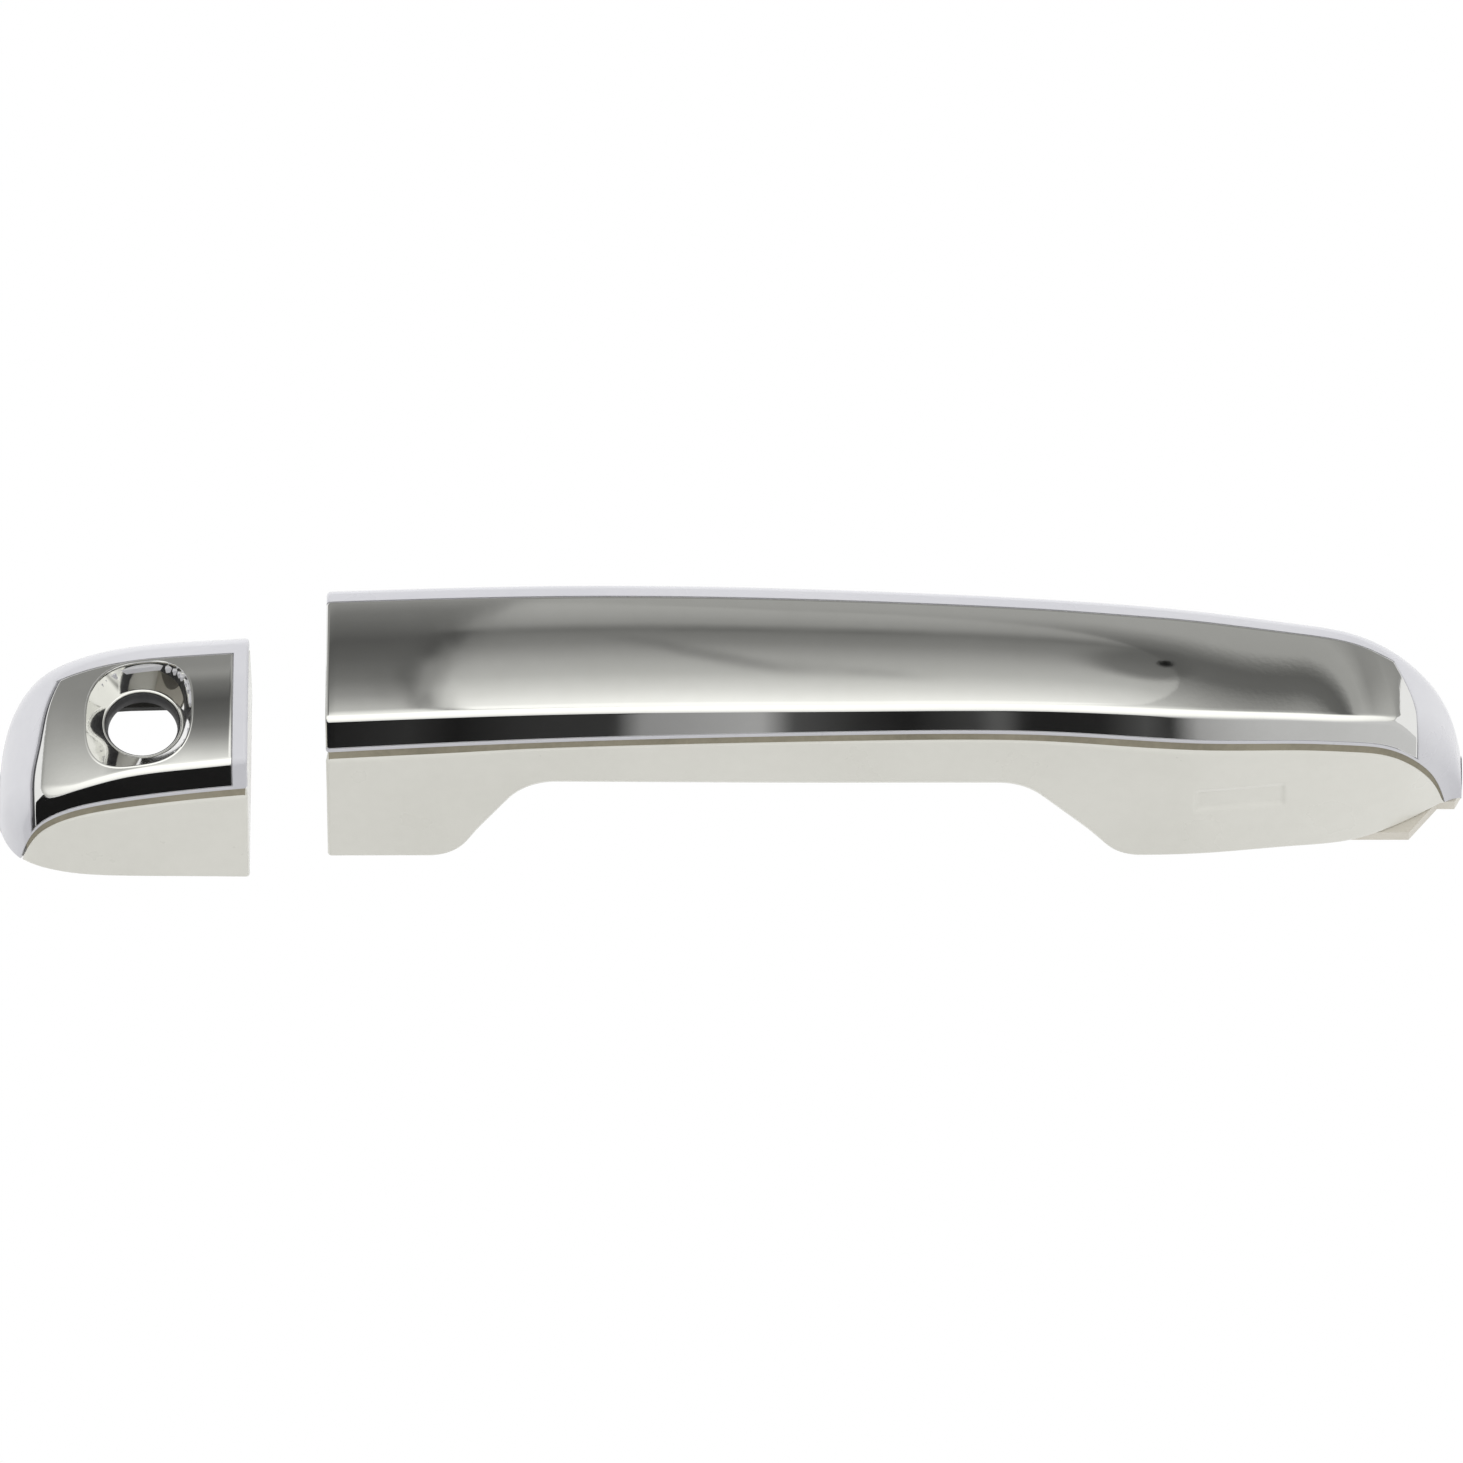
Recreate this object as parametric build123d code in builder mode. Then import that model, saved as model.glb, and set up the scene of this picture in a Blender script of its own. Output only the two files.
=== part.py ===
from build123d import *
import os
from math import radians, sin

os.makedirs("parts", exist_ok=True)

# Frame: X runs along the handle towards the front of the car, Z points out of the door, and
# Z = 0 is the door skin. The origin is on the skin, midway between the ends of handle and cap.
NEAR_DRAFT = 0.20  # how far the near wall leans in, mm per mm of height
FAR_DRAFT = 0.12
CAP_FAR_DRAFT = 0.20
CROWN = 0.030  # rise of the face, as a share of its width
FACE_DROP = 1.4  # the face is this much lower along its far edge
CHROME = 1.4  # thickness of the plated skins
SHELL = 2.6  # thickness of the painted shells
INNER = 2.4  # thickness of the lower shells
FIT = 0.3  # gap between the shells and the core
LIP = 0.9  # painted lip left showing between the chrome and the seam
SEAM = 0.9  # height of the seam between the upper and lower shells
SEAL_SET_BACK = 0.8  # the seal strips lie this far behind the painted faces

# Cross-sections: x, near edge at the skin, far edge at the skin, height of the crease
HANDLE = [
    (-74.8, -20.0, 21.4, 36.3),
    (-29.0, -19.9, 21.6, 38.4),
    (24.0, -19.8, 20.2, 39.0),
    (60.0, -19.7, 18.3, 38.8),
    (87.0, -19.5, 16.6, 37.0),
    (104.0, -17.9, 15.4, 34.4),
    (115.0, -16.5, 14.2, 32.2),
    (122.0, -13.9, 12.4, 28.6),
    (127.5, -11.0, 10.6, 22.6),
    (131.8, -8.4, 8.4, 15.0),
    (134.2, -7.4, 5.0, 9.0),
    (135.5, -7.2, 0.0, 4.0),
]
CAP = [
    (-135.9, -13.0, -4.0, 3.0),
    (-134.5, -17.0, 5.0, 7.6),
    (-131.5, -20.6, 11.2, 13.0),
    (-127.0, -22.7, 14.2, 18.6),
    (-121.0, -23.9, 15.6, 22.9),
    (-112.0, -24.4, 16.3, 27.0),
    (-100.0, -24.5, 16.6, 29.4),
    (-89.2, -24.6, 16.6, 31.1),
]

# Seams between upper and lower shells, x and height
HANDLE_SEAM = [(-80, 27.2), (-54, 29.0), (24, 32.0), (68, 31.2), (102, 27.6), (119, 22.0), (126.5, 12),
               (131.5, -1)]
CAP_SEAM = [(-86, 24.2), (-102, 21.9), (-112, 20.0), (-121, 17.0), (-127.5, 11.5), (-132, -1)]

PIN_R = 2.5  # both hinge pins
RUNNING = 0.06  # radial clearance on them
PIVOT = (118.0, -11.0)  # x and z of the handle's hinge
PIVOT_ARM_Y = (1.0, 12.0)  # the pivot arm's hub lies between these
PIVOT_CHEEKS_Y = ((-3.0, 0.5), (12.5, 16.5))
CRANK = (-46.0, -14.0)  # x and z of the bell crank's hinge
CRANK_ARM = 19.5  # hinge to the middle of the round tip
CRANK_REST = 34.7  # the arm points this many degrees below level at rest
CRANK_Y = (11.5, 16.0)  # the crank's arm and the pull arm lie between these
CRANK_CHEEKS_Y = ((3.5, 6.0), (16.5, 19.0))
TIP_R = 2.0
BOLTS_X, BOLT_Y = (-18.0, 82.0), 16.0  # the two threaded inserts
INSERT_R, THREAD_R = 4.2, 2.5
KEYHOLE = (-108.9, -3.6)
KEYHOLE_R = 6.4
KEYHOLE_Z = (17.5, 20.5)  # the liner's foot and the funnel's foot
LINER_WALL = 1.3
FUNNEL_WALL = 1.1
FUNNEL_FOOT_R = 7.4
FUNNEL_MOUTH = (11.6, 14.6)  # half width and half length, just above the face
FUNNEL_MOUTH_Z = 31.5
FUNNEL_LEAN = (-0.8, -3.8)  # from the middle of the foot to the middle of the mouth


def form(sections, far_draft, inset):
    """The closed outer shape through the sections, drawn inset from the skin on every side."""
    middle = (sections[0][0] + sections[-1][0]) / 2
    squeeze = 1 - 2 * inset / (sections[-1][0] - sections[0][0])
    with BuildPart() as body:
        for x, near, far, crease in sections:
            low, top = min(inset, 0.3 * crease), crease - min(inset, 0.4 * crease)
            pull = min(inset, 0.4 * (far - near) / 2)
            drop = min(FACE_DROP, 0.1 * crease)
            a = (near + pull + NEAR_DRAFT * low, low)
            b = (near + pull + NEAR_DRAFT * top, top)
            c = (far - pull - far_draft * (top - drop), top - drop)
            d = (far - pull - far_draft * low, low)
            peak = ((b[0] + c[0]) / 2, (b[1] + c[1]) / 2 + CROWN * (c[0] - b[0]))
            with BuildSketch(Plane.YZ.offset(middle + (x - middle) * squeeze)):
                with BuildLine():
                    Line(a, b)
                    ThreePointArc(b, peak, c)
                    Polyline(c, d, a)
                make_face()
        loft(ruled=True)
    return body.part


def under(seam, rise, floor=-8.0):
    """Everything lower than a seam that is lifted by rise."""
    with BuildPart() as region:
        with BuildSketch(Plane.XZ):
            with BuildLine():
                top = Spline(*[(x, z + rise) for x, z in seam])
                first, last = top @ 0, top @ 1
                Polyline(last, (last.X, floor), (first.X, floor), first)
            make_face()
        extrude(amount=50, both=True)
    return region.part


def finger_arch(grow):
    """The space for the fingers, cut through along Y."""
    with BuildPart() as region:
        with BuildSketch(Plane.XZ) as profile:
            with BuildLine():
                Polyline((-64, -0.3), (-51.5, -0.3), (-38.5, 19.3), (54, 18.6), (71.5, -0.3), (86, -0.3),
                         (86, -9), (-64, -9), close=True)
            make_face()
            fillet(profile.vertices().group_by(Axis.Y)[-1], 11)
            fillet(profile.vertices().group_by(Axis.Y)[-2], 11)
            fillet([v for v in profile.vertices() if abs(v.Y + 0.3) < 0.01 and abs(v.X - 10) < 62], 7)
            if grow:
                offset(amount=grow)
        extrude(amount=50, both=True)
    return region.part


def plan_region(points, low):
    """Everything above low inside a plan outline of one smooth far edge and straight near sides."""
    with BuildPart() as region:
        with BuildSketch(Plane.XY.offset(low)):
            with BuildLine():
                edge = Spline(*points)
                first, last = edge @ 0, edge @ 1
                Polyline(last, (last.X, -40), (first.X, -40), first)
            make_face()
        extrude(amount=70)
    return region.part


def round_bar(centre, radius, low, high, hole=0.0):
    """A round bar or tube along Y, about an XZ centre."""
    with BuildPart() as bar:
        with BuildSketch(Plane.XZ.offset(-low)):
            with Locations(centre):
                Circle(radius)
                if hole:
                    Circle(hole, mode=Mode.SUBTRACT)
        extrude(amount=-(high - low))
    return bar.part


def block(low, high, mode=Mode.PRIVATE):
    """A box between two corners."""
    size = [b - a for a, b in zip(low, high)]
    return Pos(*[(a + b) / 2 for a, b in zip(low, high)]) * Box(*size, mode=mode)


def upright(centre, radius, low, high, hole=0.0):
    """A round bar or tube along Z."""
    with BuildPart() as bar:
        with BuildSketch(Plane.XY.offset(low)):
            with Locations(centre):
                Circle(radius)
                if hole:
                    Circle(hole, mode=Mode.SUBTRACT)
        extrude(amount=high - low)
    return bar.part


def funnel(grow):
    """The key hole's funnel, round at the bottom and oval where it meets the face."""
    with BuildPart() as cone:
        with BuildSketch(Plane.XY.offset(KEYHOLE_Z[1] - 0.9 * grow)):
            with Locations(KEYHOLE):
                Circle(FUNNEL_FOOT_R + grow)
        with BuildSketch(Plane.XY.offset(FUNNEL_MOUTH_Z)):
            with Locations((KEYHOLE[0] + FUNNEL_LEAN[0], KEYHOLE[1] + FUNNEL_LEAN[1])):
                Ellipse(FUNNEL_MOUTH[0] + grow, FUNNEL_MOUTH[1] + grow)
        loft()
    return cone.part


def save(piece, name):
    piece.part.label = name
    export_step(piece.part, f"parts/{name}.step")


# Handle: the upper parts share one outer shape, drawn at several insets
handle_skin = form(HANDLE, FAR_DRAFT, 0)
handle_inside = form(HANDLE, FAR_DRAFT, SHELL)
handle_below_seam = under(HANDLE_SEAM, 0)
handle_below_gap = under(HANDLE_SEAM, -SEAM)
chrome_plan = plan_region(
    [(-80, 15.0), (-39, 14.5), (2, 13.5), (46, 11.3), (87, 9.0), (112, 8.0), (120.5, 6.6), (124.2, 0.5),
     (126.2, -6), (126.6, -14), (125.5, -24)], -20)

# Plated insert over the face and the top of the near wall
with BuildPart() as handle_chrome_insert:
    add(handle_skin)
    add(form(HANDLE, FAR_DRAFT, CHROME), mode=Mode.SUBTRACT)
    add(chrome_plan, mode=Mode.INTERSECT)
    add(under(HANDLE_SEAM, LIP), mode=Mode.SUBTRACT)
save(handle_chrome_insert, "handle_chrome_insert")

# Painted upper shell, which wraps the nose and holds the insert in a pocket
with BuildPart() as handle_outer_shell:
    add(handle_skin)
    add(handle_inside, mode=Mode.SUBTRACT)
    add(handle_below_seam, mode=Mode.SUBTRACT)
    add(handle_chrome_insert.part, mode=Mode.SUBTRACT)
save(handle_outer_shell, "handle_outer_shell")

# Seal strip, set back in the seam all round
with BuildPart() as handle_seam_gasket:
    add(form(HANDLE, FAR_DRAFT, SEAL_SET_BACK))
    add(handle_inside, mode=Mode.SUBTRACT)
    add(handle_below_seam, mode=Mode.INTERSECT)
    add(handle_below_gap, mode=Mode.SUBTRACT)
save(handle_seam_gasket, "handle_seam_gasket")

# Lower shell with the finger arch, a touch recess in the front foot and openings for arm and screws
REAR_SCREW, FRONT_SCREW = (-62.0, 0.0), (122.0, -7.0)
RECESS, RECESS_DEPTH = ((83, -25, 11.2), (103, -10, 17.6)), 0.6
SCREW_HEAD_R, SCREW_R = 3.6, 2.0
PULL_BAR_X = (-71.4, -68.4)
with BuildPart() as handle_inner_shell:
    add(handle_skin)
    add(handle_below_gap, mode=Mode.INTERSECT)
    add(finger_arch(0), mode=Mode.SUBTRACT)
    add(form(HANDLE, FAR_DRAFT, INNER) - finger_arch(INNER), mode=Mode.SUBTRACT)
    add(upright(REAR_SCREW, SCREW_HEAD_R, -1, 3), mode=Mode.SUBTRACT)
    add(upright(FRONT_SCREW, SCREW_R, -1, 15), mode=Mode.SUBTRACT)
    add(block((PULL_BAR_X[0], CRANK_Y[0], -1), (PULL_BAR_X[1], CRANK_Y[1], 4)), mode=Mode.SUBTRACT)
    add((handle_skin - form(HANDLE, FAR_DRAFT, RECESS_DEPTH)) & block(*RECESS), mode=Mode.SUBTRACT)
save(handle_inner_shell, "handle_inner_shell")

# Core that joins the two feet and carries both arms, with a pocket for the sensor board
BOARD = ((84.0, -10.9, 9.0), (103.0, -9.3, 20.0))
with BuildPart() as handle_core:
    add(form(HANDLE, FAR_DRAFT, SHELL + FIT))
    add(finger_arch(INNER + FIT), mode=Mode.SUBTRACT)
    add(block((83, -18, 8), (104, -8, 21)), mode=Mode.SUBTRACT)
    add(block((PULL_BAR_X[0], CRANK_Y[0], -1), (PULL_BAR_X[1], CRANK_Y[1], 14)), mode=Mode.SUBTRACT)
    add(upright(REAR_SCREW, SCREW_R, -1, 14), mode=Mode.SUBTRACT)
    add(upright(REAR_SCREW, SCREW_HEAD_R, -1, 3), mode=Mode.SUBTRACT)
    add(upright(FRONT_SCREW, SCREW_R, -1, 14), mode=Mode.SUBTRACT)
save(handle_core, "handle_core")

with BuildPart() as sensor_board:
    add(block(*BOARD))
    for x in (88, 94, 99):
        add(block((x - 1.6, -12.0, 12), (x + 1.6, -10.9, 15)))
save(sensor_board, "sensor_board")

# Front pivot arm: a flange under the nose, of which the edge shows, and a hub on the pivot pin
with BuildPart() as front_pivot_arm:
    with BuildSketch(Plane.XY.offset(-2.6)):
        with BuildLine():
            Polyline((112.5, -14.6), (125.6, -14.6), (131.0, -7.9), (134.2, -7.9), (135.4, -5.6), (135.4, 2),
                     (130, 8), (112.5, 12), close=True)
        make_face()
    extrude(amount=2.6)
    with BuildSketch(Plane.XZ.offset(-PIVOT_ARM_Y[0])) as hub:
        with Locations(PIVOT):
            Circle(5.6)
        with BuildLine():
            Polyline((113, -2.6), (127, -2.6), (123.4, -12), (112.8, -12), close=True)
        make_face()
        with Locations(PIVOT):
            Circle(PIN_R + RUNNING, mode=Mode.SUBTRACT)
    extrude(amount=-(PIVOT_ARM_Y[1] - PIVOT_ARM_Y[0]))
    add(upright(FRONT_SCREW, SCREW_HEAD_R, -3, -0.6), mode=Mode.SUBTRACT)
    add(upright(FRONT_SCREW, SCREW_R, -3, 1), mode=Mode.SUBTRACT)
save(front_pivot_arm, "front_pivot_arm")

# Rear pull arm: a bar out of the rear foot with a hook that lifts the bell crank
HOOK_PLAY = 0.9  # between the crank's tip and the hook at rest
HOOK_TOP = CRANK[1] - CRANK_ARM * sin(radians(CRANK_REST)) - TIP_R - HOOK_PLAY
HOOK_FOOT = HOOK_TOP - 3.5
HOOK_END = -61.6
SLEEVE = 0.8
with BuildPart() as rear_pull_arm:
    add(block((PULL_BAR_X[0], CRANK_Y[0], HOOK_FOOT), (PULL_BAR_X[1], CRANK_Y[1], 13.7)))
    add(block((PULL_BAR_X[0], CRANK_Y[0], HOOK_FOOT), (HOOK_END - SLEEVE, CRANK_Y[1], HOOK_TOP - SLEEVE)))
save(rear_pull_arm, "rear_pull_arm")

with BuildPart() as hook_buffer:
    add(block((PULL_BAR_X[1], CRANK_Y[0], HOOK_TOP - SLEEVE), (HOOK_END, CRANK_Y[1], HOOK_TOP)))
    add(block((HOOK_END - SLEEVE, CRANK_Y[0], HOOK_FOOT), (HOOK_END, CRANK_Y[1], HOOK_TOP - SLEEVE)))
save(hook_buffer, "hook_buffer")

with BuildPart() as handle_screws:
    for centre, head in ((REAR_SCREW, 0.3), (FRONT_SCREW, -2.5)):
        add(upright(centre, SCREW_HEAD_R - 0.1, head, head + 1.8))
        add(upright(centre, SCREW_R - 0.05, head + 1.8, 13.5))
save(handle_screws, "handle_screws")

CAP_SCREW = (-126.0, -4.0)

# Key cap: the same build as the handle, without the insert's wrap
cap_skin = form(CAP, CAP_FAR_DRAFT, 0)
cap_inside = form(CAP, CAP_FAR_DRAFT, SHELL)
cap_opening = block((-123, -19, -1), (-93, 13.6, 6))
cap_below_seam = under(CAP_SEAM, 0)
cap_below_gap = under(CAP_SEAM, -SEAM)
with BuildPart() as cap_chrome_plan:
    with BuildSketch(Plane.XY):
        with BuildLine():
            far_edge = Spline((-92, 7.0), (-102, 6.6), (-112, 7.4), (-118.5, 9.2), (-122.5, 9.6))
            left_edge = Spline((-122.5, 9.6), (-126.6, 2.5), (-128.5, -7), (-129.6, -14), (-128.8, -26))
            Polyline(left_edge @ 1, (-92, -26), (-92, 7.0))
        make_face()
    extrude(amount=40)

# Plated face with the funnel
with BuildPart() as cap_chrome_plate:
    add(cap_skin)
    add(form(CAP, CAP_FAR_DRAFT, CHROME), mode=Mode.SUBTRACT)
    add(cap_chrome_plan.part, mode=Mode.INTERSECT)
    add(under(CAP_SEAM, LIP), mode=Mode.SUBTRACT)
    add(funnel(FUNNEL_WALL) & cap_skin)
    add(funnel(0), mode=Mode.SUBTRACT)
    add(upright(KEYHOLE, KEYHOLE_R + 0.2, 15, 25), mode=Mode.SUBTRACT)
save(cap_chrome_plate, "cap_chrome_plate")

with BuildPart() as cap_outer_shell:
    add(cap_skin)
    add(cap_inside, mode=Mode.SUBTRACT)
    add(cap_below_seam, mode=Mode.SUBTRACT)
    add(cap_chrome_plate.part, mode=Mode.SUBTRACT)
    add(funnel(FUNNEL_WALL), mode=Mode.SUBTRACT)
    add(cap_opening, mode=Mode.SUBTRACT)
save(cap_outer_shell, "cap_outer_shell")

with BuildPart() as cap_seam_gasket:
    add(form(CAP, CAP_FAR_DRAFT, SEAL_SET_BACK))
    add(cap_inside, mode=Mode.SUBTRACT)
    add(cap_below_seam, mode=Mode.INTERSECT)
    add(cap_below_gap, mode=Mode.SUBTRACT)
save(cap_seam_gasket, "cap_seam_gasket")

with BuildPart() as cap_inner_shell:
    add(cap_skin)
    add(cap_below_gap, mode=Mode.INTERSECT)
    add(form(CAP, CAP_FAR_DRAFT, INNER), mode=Mode.SUBTRACT)
    add(cap_opening, mode=Mode.SUBTRACT)
    add(upright(CAP_SCREW, 2.0, -1, 6), mode=Mode.SUBTRACT)
save(cap_inner_shell, "cap_inner_shell")

with BuildPart() as keyhole_liner:
    add(upright(KEYHOLE, KEYHOLE_R + LINER_WALL, KEYHOLE_Z[0], KEYHOLE_Z[1] - 1.0, hole=KEYHOLE_R))
save(keyhole_liner, "keyhole_liner")

with BuildPart() as cap_carrier:
    add(form(CAP, CAP_FAR_DRAFT, SHELL + FIT))
    add(block((-131, -22, 2), (-119.5, 14, 12)), mode=Mode.INTERSECT)
    add(upright(CAP_SCREW, 2.0, 0, 9), mode=Mode.SUBTRACT)
save(cap_carrier, "cap_carrier")

with BuildPart() as cap_screw:
    add(upright(CAP_SCREW, 1.95, -9, 8.5))
save(cap_screw, "cap_screw")

with BuildPart() as cap_base_gasket:
    with BuildSketch(Plane.XY.offset(-1.2)):
        with BuildLine():
            near_side = [(x, near) for x, near, far, crease in CAP]
            far_side = [(x, far) for x, near, far, crease in reversed(CAP)]
            Polyline(*near_side, *far_side, close=True)
        make_face()
        offset(amount=-1.6, kind=Kind.INTERSECTION)
        offset(amount=-2.0, kind=Kind.INTERSECTION, mode=Mode.SUBTRACT)
    extrude(amount=1.2)
save(cap_base_gasket, "cap_base_gasket")

# Bell crank, turned on its pin: arm down to the hook, lobe for the weight, sleeve for the spring
SLEEVE_R, HUB_R, BUSH_R = 4.2, 5.6, 3.4
WEIGHT_R, WEIGHT_ARM, WEIGHT_ANGLE = 4.2, 13.5, 22.0
SPRING_R, SPRING_WIRE_R, SPRING_TURNS, SPRING_PITCH = 5.2, 0.5, 4, 1.1


def from_crank(length, angle):
    """An XZ point at a length and angle from the crank's hinge."""
    tip = Vector(length, 0).rotate(Axis.Z, angle)
    return (CRANK[0] + tip.X, CRANK[1] + tip.Y)


crank_tip = from_crank(CRANK_ARM, 180 + CRANK_REST)
weight_at = from_crank(WEIGHT_ARM, WEIGHT_ANGLE)
with BuildPart() as bell_crank:
    with BuildSketch(Plane.XZ.offset(-CRANK_Y[0])):
        with Locations(CRANK):
            Circle(HUB_R)
        with Locations(crank_tip):
            Circle(TIP_R)
        with Locations(weight_at):
            Circle(WEIGHT_R + 1.6)
        with BuildLine():
            Polyline(from_crank(5, 90 + CRANK_REST), from_crank(CRANK_ARM, 175 + CRANK_REST),
                     from_crank(CRANK_ARM, 185 + CRANK_REST), from_crank(5, CRANK_REST - 90), close=True)
        make_face()
        with BuildLine():
            Polyline(from_crank(4, 90 + WEIGHT_ANGLE), from_crank(WEIGHT_ARM, WEIGHT_ANGLE + 14),
                     from_crank(WEIGHT_ARM, WEIGHT_ANGLE - 14), from_crank(4, WEIGHT_ANGLE - 90), close=True)
        make_face()
        with Locations(weight_at):
            Circle(WEIGHT_R, mode=Mode.SUBTRACT)
    extrude(amount=-(CRANK_Y[1] - CRANK_Y[0]))
    add(round_bar(CRANK, SLEEVE_R, CRANK_CHEEKS_Y[0][1] + 0.4, CRANK_Y[0]))
    add(round_bar(CRANK, BUSH_R, 0, 20), mode=Mode.SUBTRACT)
save(bell_crank, "bell_crank")

with BuildPart() as crank_bush:
    add(round_bar(CRANK, BUSH_R, CRANK_CHEEKS_Y[0][1] + 0.4, CRANK_Y[1], hole=PIN_R + RUNNING))
save(crank_bush, "crank_bush")

with BuildPart() as crank_weight:
    add(round_bar(weight_at, WEIGHT_R, CRANK_Y[0] - 3, CRANK_Y[1]))
save(crank_weight, "crank_weight")

# Torsion spring round the crank's sleeve; one tang lies on the crank, the other reaches the cheek
with BuildPart() as return_spring:
    with BuildLine() as wire:
        coil = Helix(SPRING_PITCH, SPRING_PITCH * SPRING_TURNS, SPRING_R, center=(CRANK[0], 0, CRANK[1]),
                     direction=(0, 1, 0))
    with BuildSketch(Plane(origin=wire.line @ 0, z_dir=wire.line % 0)):
        Circle(SPRING_WIRE_R)
    sweep()
return_spring.part = return_spring.part.moved(Location((0, CRANK_CHEEKS_Y[0][1] + 0.7, 0)))
save(return_spring, "return_spring")

# Mounting frame: flanges under both feet, crank housing, beam and pivot housing in one moulding
FLANGE_Z = (-4.2, -1.5)
FRONT_FLANGE_X = (87.0, 109.5)
REAR_FLANGE_X = (-73.9, -50.5)
WINDOW = ((-73.1, 9.9), (-53.0, 17.2))
BEAM = ((-24.0, 9.0, -16.0), (106.0, 23.0, -6.0))
BEAM_WALL = 2.2
with BuildPart() as mounting_frame:
    add(block((REAR_FLANGE_X[0], -8.0, FLANGE_Z[0]), (REAR_FLANGE_X[1], 20.0, FLANGE_Z[1])))
    add(block((FRONT_FLANGE_X[0], -11.0, FLANGE_Z[0]), (FRONT_FLANGE_X[1], 20.0, FLANGE_Z[1])))
    add(block(*BEAM))
    for low, high in CRANK_CHEEKS_Y:
        with BuildSketch(Plane.XZ.offset(-low)):
            with Locations(CRANK):
                Circle(5.0)
            with BuildLine():
                Polyline((-58, FLANGE_Z[1]), (-58, -8), (-51.4, -16.5), (-41.5, -16.5), (-35, -7.2),
                         (-22, -7.2), (-22, FLANGE_Z[0] - 1.8), (-40, FLANGE_Z[1]), close=True)
            make_face()
        extrude(amount=-(high - low))
    add(block((-24.0, CRANK_CHEEKS_Y[0][0], -8.5), (-21.8, 23, -6)))
    for low, high in PIVOT_CHEEKS_Y:
        with BuildSketch(Plane.XZ.offset(-low)):
            with Locations(PIVOT):
                Circle(6.0)
            with BuildLine():
                Polyline((103, FLANGE_Z[1]), (109.5, FLANGE_Z[1]), (112.4, -8), (124, -11), (124, -19),
                         (106, -19), (103, -16), close=True)
            make_face()
        extrude(amount=-(high - low))
    add(block((106.0, PIVOT_CHEEKS_Y[0][0], -19.0), (124.0, PIVOT_CHEEKS_Y[1][1], -17.2)))
    add(block((103.0, PIVOT_CHEEKS_Y[0][0], -16.0), (106.0, 23.0, FLANGE_Z[1])))
    # the beam is a channel, open downwards, with a boss round each insert
    add(block((BEAM[0][0] + BEAM_WALL, BEAM[0][1] + BEAM_WALL, BEAM[0][2] - 1),
              (BEAM[1][0] - 4, BEAM[1][1] - BEAM_WALL, BEAM[1][2] - BEAM_WALL)), mode=Mode.SUBTRACT)
    for x in BOLTS_X:
        add(upright((x, BOLT_Y), INSERT_R + 2.4, BEAM[0][2], -7))
        add(upright((x, BOLT_Y), INSERT_R, BEAM[0][2] - 1, -8), mode=Mode.SUBTRACT)
    for x in (5, 32, 59):
        add(block((x - 1, BEAM[0][1], BEAM[0][2]), (x + 1, BEAM[1][1], -7)))
    add(block((WINDOW[0][0], WINDOW[0][1], -5), (WINDOW[1][0], WINDOW[1][1], 0)), mode=Mode.SUBTRACT)
    add(round_bar(CRANK, PIN_R, 0, 22), mode=Mode.SUBTRACT)
    add(round_bar(PIVOT, PIN_R, -6, 20), mode=Mode.SUBTRACT)
save(mounting_frame, "mounting_frame")

GUIDE_WALL = 0.5
with BuildPart() as arm_guide:
    add(block((*WINDOW[0], FLANGE_Z[0]), (*WINDOW[1], FLANGE_Z[1])))
    add(block((WINDOW[0][0] + GUIDE_WALL, WINDOW[0][1] + GUIDE_WALL, -5),
              (WINDOW[1][0] - GUIDE_WALL, WINDOW[1][1] - GUIDE_WALL, 0)), mode=Mode.SUBTRACT)
save(arm_guide, "arm_guide")

PAD_Z = (FLANGE_Z[1], -0.3)
with BuildPart() as rear_gasket:
    add(block((REAR_FLANGE_X[0] + 0.6, -8.0, PAD_Z[0]), (-54.5, 20.0, PAD_Z[1])))
    add(block((*WINDOW[0], -3), (*WINDOW[1], 1)), mode=Mode.SUBTRACT)
save(rear_gasket, "rear_gasket")

with BuildPart() as front_gasket:
    add(block((FRONT_FLANGE_X[0], -11.0, PAD_Z[0]), (FRONT_FLANGE_X[1], 14.0, PAD_Z[1])))
save(front_gasket, "front_gasket")

for name, centre, cheeks in (("pivot_pin", PIVOT, PIVOT_CHEEKS_Y), ("crank_pin", CRANK, CRANK_CHEEKS_Y)):
    ends = (cheeks[0][0] - 1.6, cheeks[1][1] + 1.6)
    with BuildPart() as pin:
        add(round_bar(centre, PIN_R, *ends))
        chamfer(pin.edges().filter_by(GeomType.CIRCLE), 0.4)
    save(pin, name)
    with BuildPart() as clips:
        for low in (cheeks[0][0] - 0.9, cheeks[1][1]):
            add(round_bar(centre, PIN_R + 1.7, low, low + 0.9, hole=PIN_R))
    save(clips, name + "_clips")

with BuildPart() as threaded_inserts:
    for x in BOLTS_X:
        add(upright((x, BOLT_Y), INSERT_R, BEAM[0][2], -8, hole=THREAD_R))
save(threaded_inserts, "threaded_inserts")
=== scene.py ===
import math

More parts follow.
